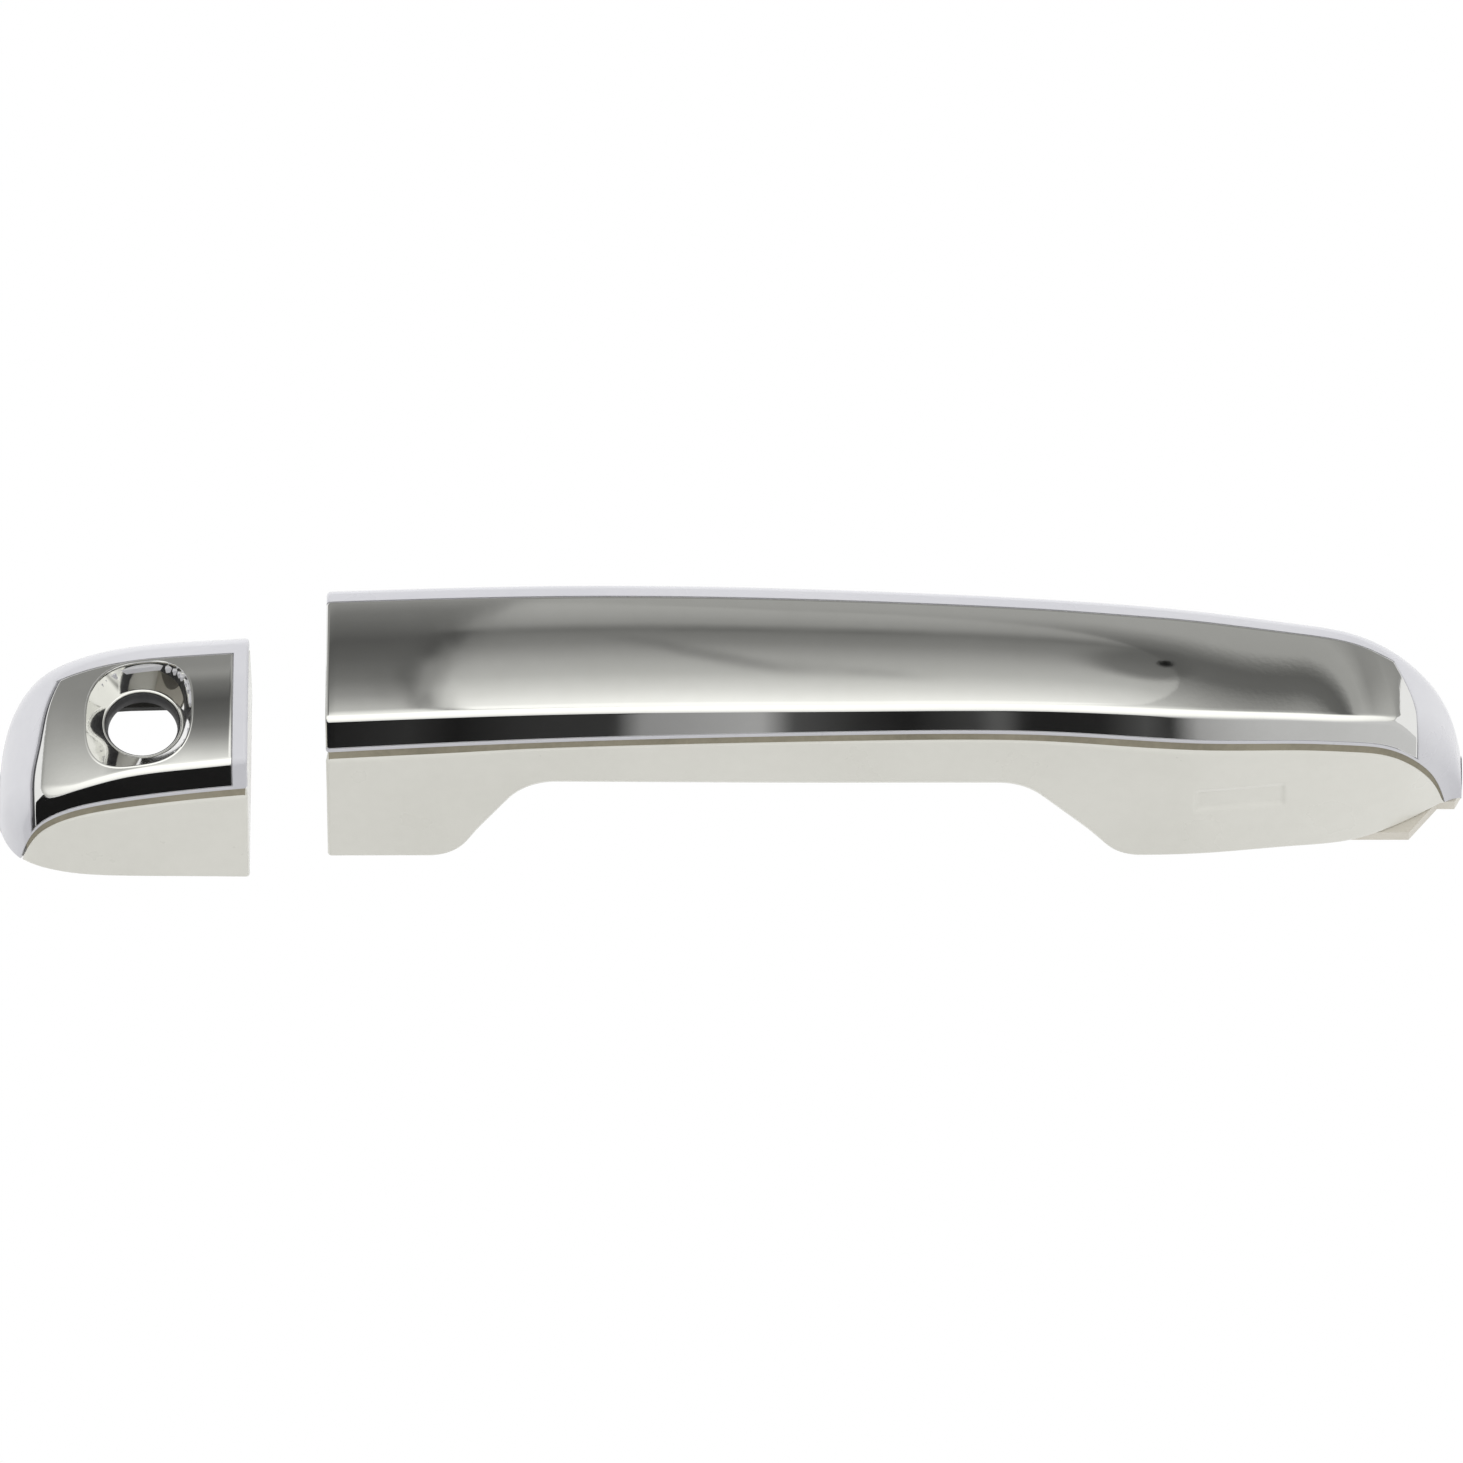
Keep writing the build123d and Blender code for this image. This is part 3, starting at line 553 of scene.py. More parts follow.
GLOSS_DRIFT, given, result = effect("gloss_drift", [("Low", NUMBER, 0.2), ("High", NUMBER, 0.4),
                                                    ("Scale", NUMBER, 60.0)], [("Roughness", NUMBER)])
patches = noise(GLOSS_DRIFT, given["Scale"], 5.0, away=7.0)
gloss = span_of(GLOSS_DRIFT, patches, 0.32, 0.68, given["Low"], given["High"])
GLOSS_DRIFT.links.new(gloss, result["Roughness"])

SOFT_PEEL, given, result = effect("soft_peel", [("Scale", NUMBER, 400.0)], [("Height", NUMBER)])
waves = noise(SOFT_PEEL, given["Scale"], 1.0, away=11.0)
nibs = noise(SOFT_PEEL, reckon(SOFT_PEEL, "MULTIPLY", given["Scale"], 6.0), 1.0, away=13.0)
SOFT_PEEL.links.new(reckon(SOFT_PEEL, "MULTIPLY_ADD", nibs, 0.08, waves), result["Height"])


def finish(material, tones, gloss, relief, metallic=0.0, **constants):
    """Fills a material: a colour and a gloss that drift over the surface, and a fine relief.

    tones is (first, second, scale), gloss is (low, high, scale) and relief is (effect, scale, depth in mm).
    """
    material.use_nodes = True
    tree = material.node_tree
    shader = tree.nodes["Principled BSDF"]

    def placed(group, **values):
        node = tree.nodes.new("ShaderNodeGroup")
        node.node_tree = group
        for label, value in values.items():
            node.inputs[label].default_value = value
        return node.outputs[0]

    first, second, scale = tones
    tree.links.new(placed(TONE_DRIFT, First=(*first, 1), Second=(*second, 1), Scale=scale),
                   shader.inputs["Base Color"])
    low, high, scale = gloss
    tree.links.new(placed(GLOSS_DRIFT, Low=low, High=high, Scale=scale), shader.inputs["Roughness"])
    group, scale, depth = relief
    bump = tree.nodes.new("ShaderNodeBump")
    bump.inputs["Distance"].default_value = depth * MM
    tree.links.new(placed(group, Scale=scale), bump.inputs["Height"])
    tree.links.new(bump.outputs[0], shader.inputs["Normal"])
    shader.inputs["Metallic"].default_value = metallic
    for label, value in constants.items():
        shader.inputs[label.replace("_", " ")].default_value = value
    return shader


# White paint for the upper shells. Its base colour is darkened as painted shade on the sides and tinted
# lavender as a painted sky reflection.
SHADED_SKY_TINTED_PAINT = bpy.data.materials.new("shaded_sky_tinted_paint")
finish(SHADED_SKY_TINTED_PAINT, ((0.53, 0.53, 0.562), (0.56, 0.56, 0.587), 24.0), (0.26, 0.36, 70.0),
       (SOFT_PEEL, 420.0, 0.006), Coat_Weight=0.7, Coat_Roughness=0.05, Specular_IOR_Level=0.45)
PAINTED_WALL, TIP_WALL, THINNING = 2.5, 0.5, 1.9
END_ROLL, TIP_ROLL = 0.7, 0.15
RIM_WIDTH = 6.0
FAR_WALL = 14.0
lip_rows = np.array([0, .01, .04, .09, .16, .25, .4, .6, .72, .8, .87, .92, .96, .99, 1.0])
shell_v = np.unique(np.concatenate([
    lip_rows, [1.004], np.linspace(1.1, 2, 5), np.linspace(2, 3, 6), np.linspace(3, 3.96, 8), [3.996],
    4 + edge_run(RIM_WIDTH), np.linspace(5, 6, 10), 7 - edge_run(FAR_WALL, 0.6)]))
shell_u = np.unique(np.concatenate([steps((0, 0.9, 110), (0.9, 0.995, 18)), [0.9994, 1.0],
                                    1 + edge_run(10.0), steps((1.1, 2, 46))]))


def painted_foot(v):
    """How far the rounded seam edges of an upper shell lie under its surface."""
    return np.maximum(rounding(v * LIP, LIP_FOOT_ROUND), rounding((7 - v) * FAR_WALL, RIM_FOOT_ROUND))


def painted_depth(v, in_pocket, edge_gap):
    """How far an upper shell lies under its surface: its pocket, the lips round it and the seam edges."""
    beside_pocket = in_pocket.any(axis=1, keepdims=True)
    lip_gap = np.where((v <= 1) & beside_pocket, (1 - v) * LIP, np.inf)
    rim_gap = np.where((v >= 4) & beside_pocket, (v - 4) * RIM_WIDTH, np.inf)
    groove = rounding(np.minimum(edge_gap, np.minimum(lip_gap, rim_gap)), GROOVE_ROUND)
    return np.where(in_pocket, POCKET, np.maximum(groove, painted_foot(v)))


x_e = plate_end(shell_v)[None, :]
u = shell_u[:, None]
start_x = HANDLE_LEFT + END_ROLL
x = np.where(u <= 1, start_x + (x_e - start_x) * u, x_e + (HANDLE_TIP - TIP_ROLL - x_e) * (u - 1))
v = np.broadcast_to(shell_v[None, :], x.shape)
in_pocket = (u < 1) & (v > 1) & (v < 4)
edge_gap = np.where((u >= 1) & (v >= 1) & (v <= 4), x - x_e, np.inf)
depth = painted_depth(v, in_pocket, edge_gap)
handle_spans = ((HANDLE_LEFT, HANDLE_TIP), (0.0, 7.0))
wall = PAINTED_WALL - THINNING * ease(x, 116, 134)
outer = sunk(handle_skin.point, x, v, depth, *handle_spans)
inner = sunk(handle_skin.point, np.maximum(x, HANDLE_LEFT + PAINTED_WALL), v, np.maximum(wall, depth + 0.3),
             *handle_spans)
end_depth = np.where((shell_v > 1) & (shell_v < 4), POCKET, painted_foot(shell_v))
left_outer, left_inner = end_wall(handle_skin.point, shell_v, HANDLE_LEFT, 1, end_depth, PAINTED_WALL,
                                  END_ROLL, handle_spans)
tip_outer, tip_inner = end_wall(handle_skin.point, shell_v, HANDLE_TIP, -1, 0 * shell_v, TIP_WALL, TIP_ROLL,
                                handle_spans)
moulding("handle_outer_shell_painted", np.concatenate([left_outer, outer, tip_outer]),
         np.concatenate([left_inner, inner, tip_inner]), "handle", "body_paint", SHADED_SKY_TINTED_PAINT,
         "handle_outer_shell")

# Plated insert of the handle: a thin plastic skin plated with chrome, which covers the face and the top of
# the near wall, folds over the left end, and is clipped and glued into the painted shell's pocket.
PITTED_PEEL, given, result = effect("pitted_peel", [("Scale", NUMBER, 130.0)], [("Height", NUMBER)])
waves = noise(PITTED_PEEL, given["Scale"], 1.0, away=11.0)
pits = noise(PITTED_PEEL, reckon(PITTED_PEEL, "MULTIPLY", given["Scale"], 8.0), 2.0, away=23.0)
along = coordinates(PITTED_PEEL)["X"]
at_nose = span_of(PITTED_PEEL, along, 0.070, 0.100)
at_rear = span_of(PITTED_PEEL, along, -0.116, -0.121)
share = reckon(PITTED_PEEL, "MULTIPLY", reckon(PITTED_PEEL, "ADD", at_nose, at_rear), 0.9)
PITTED_PEEL.links.new(reckon(PITTED_PEEL, "MULTIPLY_ADD", pits, share, waves), result["Height"])
CHROME_PLATING = bpy.data.materials.new("chrome_plating")
finish(CHROME_PLATING, ((0.80, 0.80, 0.785), (0.765, 0.765, 0.745), 18.0), (0.035, 0.075, 45.0),
       (PITTED_PEEL, 130.0, 0.0045), metallic=1.0)
PLATE_WALL = 1.15
PLATE_ROUND = 0.32
PLATE_GAP = 0.04
BAND, FACE = 5.5, 24.0
FINE_EDGE = 0.4


def plate_rows(band, face, crease_steps, face_v, face_steps, edge_share):
    """Rows round the section for a plated skin, close together at its two long edges."""
    low, high = 1 + PLATE_GAP / band, 4 - PLATE_GAP / face
    rows = np.unique(np.concatenate([low + edge_run(band, FINE_EDGE) * 0.99, np.linspace(2, 3, crease_steps),
                                     np.linspace(3, face_v, face_steps),
                                     high - edge_run(face, FINE_EDGE) * edge_share]))
    return rows[(rows >= low) & (rows <= high)]


plate_v = plate_rows(BAND, FACE, 13, 3.93, 34, 0.2)
plate_u = np.unique(np.concatenate([steps((0, 0.7, 110), (0.7, 0.98, 76)), 1 - edge_run(200.0, FINE_EDGE)]))
x_e = plate_end(plate_v)[None, :] - PLATE_GAP
u = plate_u[:, None]
x = start_x + (x_e - start_x) * u
v = np.broadcast_to(plate_v[None, :], x.shape)
gap = np.minimum(np.minimum((v - plate_v[0]) * BAND, (plate_v[-1] - v) * FACE), x_e - x)
outer = sunk(handle_skin.point, x, v, rounding(gap, PLATE_ROUND), *handle_spans)
inner = sunk(handle_skin.point, np.maximum(x, HANDLE_LEFT + PLATE_WALL), v, PLATE_WALL, *handle_spans)
plate_edges = np.minimum((plate_v - plate_v[0]) * BAND, (plate_v[-1] - plate_v) * FACE)
left_outer, left_inner = end_wall(handle_skin.point, plate_v, HANDLE_LEFT, 1,
                                  rounding(plate_edges, PLATE_ROUND), PLATE_WALL, END_ROLL, handle_spans)
moulding("handle_chrome_skin", np.concatenate([left_outer, outer]), np.concatenate([left_inner, inner]),
         "handle", "chrome", CHROME_PLATING, "handle_chrome_insert")

# Seal strip of the handle: a soft olive-brown strip pressed between the upper and lower shells, set back a
# little in the seam, down both sides of the grip.
MOULD_GRAIN, given, result = effect("mould_grain", [("Scale", NUMBER, 900.0)], [("Height", NUMBER)])
cells = MOULD_GRAIN.nodes.new("ShaderNodeTexVoronoi")
place = MOULD_GRAIN.nodes.new("ShaderNodeTexCoord")
MOULD_GRAIN.links.new(place.outputs["Object"], cells.inputs["Vector"])
MOULD_GRAIN.links.new(given["Scale"], cells.inputs["Scale"])
cloud = noise(MOULD_GRAIN, reckon(MOULD_GRAIN, "MULTIPLY", given["Scale"], 0.6), 3.0, away=17.0)
grain = reckon(MOULD_GRAIN, "MULTIPLY_ADD", cells.outputs["Distance"], 0.6, cloud)
MOULD_GRAIN.links.new(grain, result["Height"])
SEAL_RUBBER = bpy.data.materials.new("seal_rubber")
finish(SEAL_RUBBER, ((0.27, 0.245, 0.18), (0.19, 0.172, 0.122), 55.0), (0.5, 0.72, 200.0),
       (MOULD_GRAIN, 1500.0, 0.03))
SEAL_SET_BACK, SEAL_THICK, SEAL_TUCK = 0.3, 1.0, 0.5


def seal_strip(name, skin, x, body, stands_for):
    """A thin strip behind the seam on each side of the grip."""
    heights = np.array([-SEAM_GAP - SEAL_TUCK, -SEAM_GAP * 0.5, SEAL_TUCK])
    near, far = [edge[:, None] for edge in skin.across(x)[:2]]
    for suffix, heights, edge_y, lean, inward in (("near", heights, near, NEAR_LEAN, 1),
                                                  ("far", heights[::-1], far, -skin.far_lean, -1)):
        seam_z = skin.seam_z(x)[:, None] + heights[None, :]

        def strip(set_back):
            y = edge_y + lean * seam_z + inward * set_back
            return np.stack([np.broadcast_to(x[:, None], y.shape), y, seam_z], -1)

        moulding(f"{name}_{suffix}", strip(SEAL_SET_BACK), strip(SEAL_SET_BACK + SEAL_THICK), body,
                 "seal_rubber", SEAL_RUBBER, stands_for)


seal_strip("handle_seal_strip", handle_skin, steps((HANDLE_LEFT + 0.5, 100, 60), (100, 132, 44)), "handle",
           "handle_seam_gasket")

# Lower shell of the handle, moulded and painted white, its base colour tinted warm as a painted reflection:
# it makes the two feet and the finger arch, with soft edges along the arch, crisp ones at the door, and a
# shallow touch recess on the front foot.
# The same white paint as the upper shells, with a warm tint in its base colour that is a painted warm
# reflection.
WARM_TINTED_PAINT = bpy.data.materials.new("warm_tinted_paint")
finish(WARM_TINTED_PAINT, ((0.66, 0.653, 0.60), (0.695, 0.688, 0.635), 24.0), (0.26, 0.38, 70.0),
       (SOFT_PEEL, 420.0, 0.007), Coat_Weight=0.5, Coat_Roughness=0.08, Specular_IOR_Level=0.45)
ARCH = [(-90, 0), (-51.5, 0), (-38.0, 18.7), (54, 18.0), (72.0, 0), (150, 0)]
ARCH_ROUNDS = [9, 11, 11, 9]
LOWER_WALL = 2.2


def rounded_line(points, rounds):
    """A line of straight runs joined by tangent arcs, as closely spaced points."""
    points = [np.array(point, float) for point in points]
    line = [points[0]]
    for before, corner, after, radius in zip(points, points[1:], points[2:], rounds):
        back, on = before - corner, after - corner
        back, on = back / np.linalg.norm(back), on / np.linalg.norm(on)
        half = math.acos(float(np.clip(back @ on, -1, 1))) / 2
        centre = corner + (back + on) / np.linalg.norm(back + on) * radius / math.sin(half)
        start = corner + back * radius / math.tan(half) - centre
        stop = corner + on * radius / math.tan(half) - centre
        for share in np.linspace(0, 1, 24):
            spoke = start * (1 - share) + stop * share
            line.append(centre + spoke / np.linalg.norm(spoke) * radius)
    line.append(points[-1])
    return np.array(line)


def lower_surface(skin, floor_z, arch_round, foot_round):
    """The outside of a lower shell: far wall down, underside towards the near side, near wall up.

    v is 0 at the far seam, 1 to 2 round the far bottom edge, 3 to 4 round the near one, 5 at the near seam.
    """
    def point(x, v):
        x, v = np.broadcast_arrays(np.asarray(x, float), np.asarray(v, float))
        near, far, crease = skin.across(x)
        low = floor_z(x)
        high = np.maximum(skin.seam_z(x) - SEAM_GAP, low + 0.3)
        fillet = foot_round + (arch_round - foot_round) * ease(low, 0.3, 7)
        fillet = np.minimum(fillet, 0.45 * np.minimum(high - low, far - near))
        low_near, low_far = near + NEAR_LEAN * low, far - skin.far_lean * low
        t = np.clip(v, 0, 1)
        wall_far = high + (low + fillet - high) * t
        wall_near = low + fillet + (high - low - fillet) * np.clip(v - 4, 0, 1)
        turn_far, turn_near = np.clip(v - 1, 0, 1) * math.pi / 2, np.clip(v - 3, 0, 1) * math.pi / 2
        share = np.clip(v - 2, 0, 1)
        z = np.select([v <= 1, v <= 2, v <= 3, v <= 4],
                      [wall_far, low + fillet * (1 - np.sin(turn_far)), low,
                       low + fillet * (1 - np.cos(turn_near))], wall_near)
        far_y = far - skin.far_lean * z
        near_y = near + NEAR_LEAN * z
        y = np.select([v <= 1, v <= 2, v <= 3, v <= 4],
                      [far_y, far_y - fillet * (1 - np.cos(turn_far)),
                       (low_far - fillet) * (1 - share) + (low_near + fillet) * share,
                       near_y + fillet * (1 - np.sin(turn_near))], near_y)
        return np.stack([x, y, z], -1)
    return point


arch_line = rounded_line(ARCH, ARCH_ROUNDS)


def handle_floor(x):
    """Height of the handle's underside over the door: 0 at the feet, and the arch between them."""
    return np.interp(x, arch_line[:, 0], np.maximum(arch_line[:, 1], 0))


ARCH_EDGE_ROUND, FOOT_EDGE_ROUND, SEAM_EDGE_ROUND = 2.0, 0.7, 0.85
LEAF_NEAR, LEAF_FAR, LEAF_TIP = 14.0, 18.0, 132.2
handle_lower = lower_surface(handle_skin, handle_floor, ARCH_EDGE_ROUND, FOOT_EDGE_ROUND)
lower_v = np.unique(np.concatenate([
    edge_run(LEAF_FAR, 0.9), np.linspace(1, 2, 7), np.linspace(2, 3, 11), np.linspace(3, 4, 9),
    np.linspace(4, 4.94, 44), 5 - edge_run(LEAF_NEAR, 0.9) * 0.1]))


def leaf_edges(v):
    """How far the rounded seam edges of a lower shell lie under its surface."""
    return np.maximum(rounding((5 - v) * LEAF_NEAR, SEAM_EDGE_ROUND), rounding(v * LEAF_FAR, SEAM_EDGE_ROUND))


def leaf_wall(skin, x, floor, depth_edges, wall):
    """The seam edges' depth and the wall's thickness along a lower shell, both thinner where it is low."""
    wall_height = skin.seam_z(x) - SEAM_GAP - floor
    edges = np.minimum(depth_edges + 0 * x, np.maximum(0.4 * wall_height, 0.02))
    return edges, np.clip(0.4 * wall_height, 0.12, wall)


lower_x = steps((HANDLE_LEFT + END_ROLL, -62, 14), (-62, -26, 66), (-26, 38, 26), (38, 84, 70), (84, 104, 60),
                (104, LEAF_TIP, 64))
x, v = lower_x[:, None], lower_v[None, :]
plain = handle_lower(x, np.broadcast_to(v, (len(lower_x), len(lower_v))))
RECESS_X, RECESS_Z, RECESS_DEPTH, RECESS_SOFT = (85.5, 102.5), (11.6, 17.2), 0.42, 0.8
in_recess = (ease(plain[..., 0], RECESS_X[0], RECESS_X[0] + RECESS_SOFT)
             * ease(-plain[..., 0], -RECESS_X[1], -RECESS_X[1] + RECESS_SOFT)
             * ease(plain[..., 2], RECESS_Z[0], RECESS_Z[0] + RECESS_SOFT)
             * ease(-plain[..., 2], -RECESS_Z[1], -RECESS_Z[1] + RECESS_SOFT) * (v > 4))
edges, thickness = leaf_wall(handle_skin, x, handle_floor(x), leaf_edges(v), LOWER_WALL)
depth = edges + RECESS_DEPTH * in_recess
lower_spans = ((HANDLE_LEFT, LEAF_TIP), (0.0, 5.0))
outer = sunk(handle_lower, x, v, depth, *lower_spans)
inner = sunk(handle_lower, np.maximum(x, HANDLE_LEFT + LOWER_WALL), v, np.maximum(thickness, depth + 0.1),
             *lower_spans)
left_outer, left_inner = end_wall(handle_lower, lower_v, HANDLE_LEFT, 1, leaf_edges(lower_v), LOWER_WALL,
                                  END_ROLL, lower_spans)
moulding("handle_lower_shell_painted", np.concatenate([left_outer, outer]),
         np.concatenate([left_inner, inner]), "handle", "shell_paint", WARM_TINTED_PAINT, "handle_inner_shell")

# Painted shell of the key cap, moulded and painted like the handle's: it wraps the rounded rear end, carries
# a flange at the front end, and holds the plated face in a pocket with a wide dark gap along its rear edge.
CAP_STATIONS = [
    (-135.9, -13.0, -4.0, 3.0), (-134.5, -17.0, 5.0, 7.6), (-131.5, -20.6, 11.2, 13.0),
    (-127.0, -22.7, 14.2, 18.6), (-121.0, -23.9, 15.6, 22.9), (-112.0, -24.4, 16.3, 27.0),
    (-100.0, -24.5, 16.6, 29.4), (-89.2, -24.6, 16.6, 31.1)]
CAP_SEAM = [(-86, 24.2), (-102, 21.9), (-112, 20.0), (-121, 17.0), (-127.5, 11.5), (-132, -1)]
CAP_PLATE_FAR_EDGE = [(-122.5, 9.6), (-118.5, 9.2), (-112, 7.4), (-102, 6.6), (-92, 7.0)]
CAP_PLATE_REAR_EDGE = [(-122.5, 9.6), (-126.6, 2.5), (-128.5, -7), (-129.6, -14), (-128.8, -26)]
CAP_PLATE_RIGHT, CAP_REAR_X = -92.0, -126.0
cap_skin = Skin(CAP_STATIONS, CAP_SEAM, 0.20, lambda x: 1.0 + 4.0 * (1 - ease(x, -135, -120)),
                lambda x: 4.5 + 0 * x, CAP_PLATE_FAR_EDGE, 0.052)
FUNNEL_MIDDLE, FUNNEL_HALF, FUNNEL_SQUARE = (-109.4, -5.9), (9.9, 11.5), 2.7
KEYHOLE_MIDDLE, KEYHOLE_FOOT_R, KEYHOLE_FOOT_Z = (-108.9, -3.6), 7.4, 20.5
CAP_TIP, CAP_RIGHT = cap_skin.ends()
cap_spans = ((CAP_TIP, CAP_RIGHT), (0.0, 7.0))
rear_edge = smooth_run(CAP_PLATE_REAR_EDGE)[::-1]


def cap_plate_start(v):
    """x of the cap plating's rear end, for each place round the section."""
    y = cap_skin.point(CAP_REAR_X, np.clip(v, 1, 4))[..., 1]
    return np.where(v > 4, CAP_PLATE_REAR_EDGE[0][0], np.interp(y, rear_edge[:, 1], rear_edge[:, 0]))


def funnel_outline(turn, grow=0.0):
    """Plan points of the funnel's mouth, a circle pulled towards a rounded oblong."""
    c, s = np.cos(turn), np.sin(turn)
    reach = (np.abs(c) ** FUNNEL_SQUARE + np.abs(s) ** FUNNEL_SQUARE) ** (-1 / FUNNEL_SQUARE)
    return (FUNNEL_MIDDLE[0] + (FUNNEL_HALF[0] + grow) * reach * c,
            FUNNEL_MIDDLE[1] + (FUNNEL_HALF[1] + grow) * reach * s)


def mouth_edge(points, grow=0.0):
    """How far points lie out from the funnel's middle, 1 being its grown outline, and that outline there."""
    dx, dy = points[..., 0] - FUNNEL_MIDDLE[0], points[..., 1] - FUNNEL_MIDDLE[1]
    edge_x, edge_y = funnel_outline(np.arctan2(dy / FUNNEL_HALF[1], dx / FUNNEL_HALF[0]), grow)
    reach = np.hypot(dx, dy) / np.hypot(edge_x - FUNNEL_MIDDLE[0], edge_y - FUNNEL_MIDDLE[1])
    return reach, edge_x, edge_y


def whole_squares(inside):
    """Which squares of a grid have all four corners inside."""
    return inside[:-1, :-1] & inside[1:, :-1] & inside[1:, 1:] & inside[:-1, 1:]


cap_v = np.unique(np.concatenate([shell_v, np.linspace(3, 3.96, 30)]))
cap_u = np.unique(np.concatenate([steps((0, 0.9, 40)), 1 - edge_run(9.0), [1.0006],
                                  steps((1.005, 1.1, 6), (1.1, 1.99, 60)), [1.9994], 2 + edge_run(2.8, 0.5)]))
x_s = cap_plate_start(cap_v)[None, :]
u = cap_u[:, None]
right = CAP_RIGHT - END_ROLL
start_x = CAP_TIP + TIP_ROLL
x = np.where(u <= 1, start_x + (x_s - start_x) * u,
             np.where(u <= 2, x_s + (CAP_PLATE_RIGHT - x_s) * (u - 1),
                      CAP_PLATE_RIGHT + (right - CAP_PLATE_RIGHT) * (u - 2)))
v = np.broadcast_to(cap_v[None, :], x.shape)
in_pocket = (u > 1) & (u < 2) & (v > 1) & (v < 4)
on_plate_rows = (v >= 1) & (v <= 4)
edge_gap = np.where((u <= 1) & on_plate_rows, x_s - x, np.inf)
edge_gap = np.where((u >= 2) & on_plate_rows, x - CAP_PLATE_RIGHT, edge_gap)
depth = painted_depth(v, in_pocket, edge_gap)
wall = PAINTED_WALL - THINNING * (1 - ease(x, -135, -118))
outer = sunk(cap_skin.point, x, v, depth, *cap_spans)
inner = sunk(cap_skin.point, np.minimum(x, CAP_RIGHT - PAINTED_WALL), v, np.maximum(wall, depth + 0.3),
             *cap_spans)
tip_outer, tip_inner = end_wall(cap_skin.point, cap_v, CAP_TIP, 1, 0 * cap_v, TIP_WALL, TIP_ROLL, cap_spans)
end_outer, end_inner = end_wall(cap_skin.point, cap_v, CAP_RIGHT, -1, painted_foot(cap_v), PAINTED_WALL,
                                END_ROLL, cap_spans)
outer = np.concatenate([tip_outer, outer, end_outer])
inner = np.concatenate([tip_inner, inner, end_inner])
cut = (mouth_edge(outer, -0.1)[0] < 1) & (cap_v[None, :] > 1) & (cap_v[None, :] < 4)
moulding("cap_outer_shell_painted", outer, inner, "cap", "body_paint", SHADED_SKY_TINTED_PAINT, "cap_outer_shell",
         opening=whole_squares(cut))

# Plated face of the key cap with its funnel: one plated skin, formed down from the face to the round foot
# where the lock cylinder's nose shows.
CAP_GROOVE = 0.75
CAP_BAND, CAP_FACE, CAP_LENGTH = 4.5, 20.0, 35.0
plate_v = plate_rows(CAP_BAND, CAP_FACE, 11, 3.96, 76, 0.1)
share = np.unique(np.concatenate([edge_run(CAP_LENGTH, FINE_EDGE), 1 - edge_run(CAP_LENGTH, FINE_EDGE) * 0.3,
                                  np.linspace(0, 1, 110)]))
x_s, x_r = cap_plate_start(plate_v)[None, :] + CAP_GROOVE, CAP_PLATE_RIGHT - PLATE_GAP
x = x_s + (x_r - x_s) * share[:, None]
v = np.broadcast_to(plate_v[None, :], x.shape)
side_gap = np.minimum((v - plate_v[0]) * CAP_BAND, (plate_v[-1] - v) * CAP_FACE)
gap = np.minimum(side_gap, np.minimum(x - x_s, x_r - x))
outer = sunk(cap_skin.point, x, v, rounding(gap, PLATE_ROUND), *cap_spans)
inner = sunk(cap_skin.point, x, v, PLATE_WALL, *cap_spans)


def cut_mouth(points, rows):
    """Snaps the grid to the funnel's outline and says which grid squares it leaves."""
    reach, edge_x, edge_y = mouth_edge(points)
    inside = (reach < 1) & (rows[None, :] > 2.2)
    kept = ~whole_squares(inside)
    used = np.zeros_like(inside)
    for i in (0, 1):
        for j in (0, 1):
            used[i:i + kept.shape[0], j:j + kept.shape[1]] |= kept
    snap = used & inside
    points[..., 0] = np.where(snap, edge_x, points[..., 0])
    points[..., 1] = np.where(snap, edge_y, points[..., 1])
    points[..., 2] = np.where(snap, cap_skin.face_z(points[..., 0], points[..., 1]), points[..., 2])
    return kept


kept = cut_mouth(outer, plate_v)
columns, rows = outer.shape[:2]
index = np.arange(columns * rows).reshape(columns, rows)
quads = np.stack([index[:-1, :-1], index[1:, :-1], index[1:, 1:], index[:-1, 1:]], -1)[kept]
loop = np.concatenate([index[:, 0], index[-1, 1:], index[-2::-1, -1], index[0, -2:0:-1]])
places = [outer.reshape(-1, 3), inner.reshape(-1, 3)[loop]]
skirt_index = columns * rows + np.arange(len(loop))
faces = [quads, np.stack([np.roll(loop, -1), loop, skirt_index, np.roll(skirt_index, -1)], -1)]
TURNS = 180
turn = np.linspace(0, 2 * math.pi, TURNS, endpoint=False)
mouth_x, mouth_y = funnel_outline(turn)
mouth_z = cap_skin.face_z(mouth_x, mouth_y)
foot_x = KEYHOLE_MIDDLE[0] + KEYHOLE_FOOT_R * np.cos(turn)
foot_y = KEYHOLE_MIDDLE[1] + KEYHOLE_FOOT_R * np.sin(turn)
bead_x, bead_y = funnel_outline(turn, 0.35)
bead_z = np.minimum(cap_skin.face_z(bead_x, bead_y), mouth_z + 0.5)
rings = [(bead_x, bead_y, bead_z - 0.05)]
for grow, proud in ((0.12, 0.09), (-0.12, 0.05)):
    bead_x, bead_y = funnel_outline(turn, grow)
    rings.append((bead_x, bead_y, cap_skin.face_z(bead_x, bead_y) + proud))
for down in np.linspace(0.03, 1, 22):
    rings.append((mouth_x * (1 - down) + foot_x * down, mouth_y * (1 - down) + foot_y * down,
                  (mouth_z - 0.25) * (1 - down) + KEYHOLE_FOOT_Z * down))


def keyhole_ring(radius, z):
    """A ring of points round the key hole's axis."""
    middle_x, middle_y = KEYHOLE_MIDDLE
    return middle_x + radius * np.cos(turn), middle_y + radius * np.sin(turn), z + 0 * turn


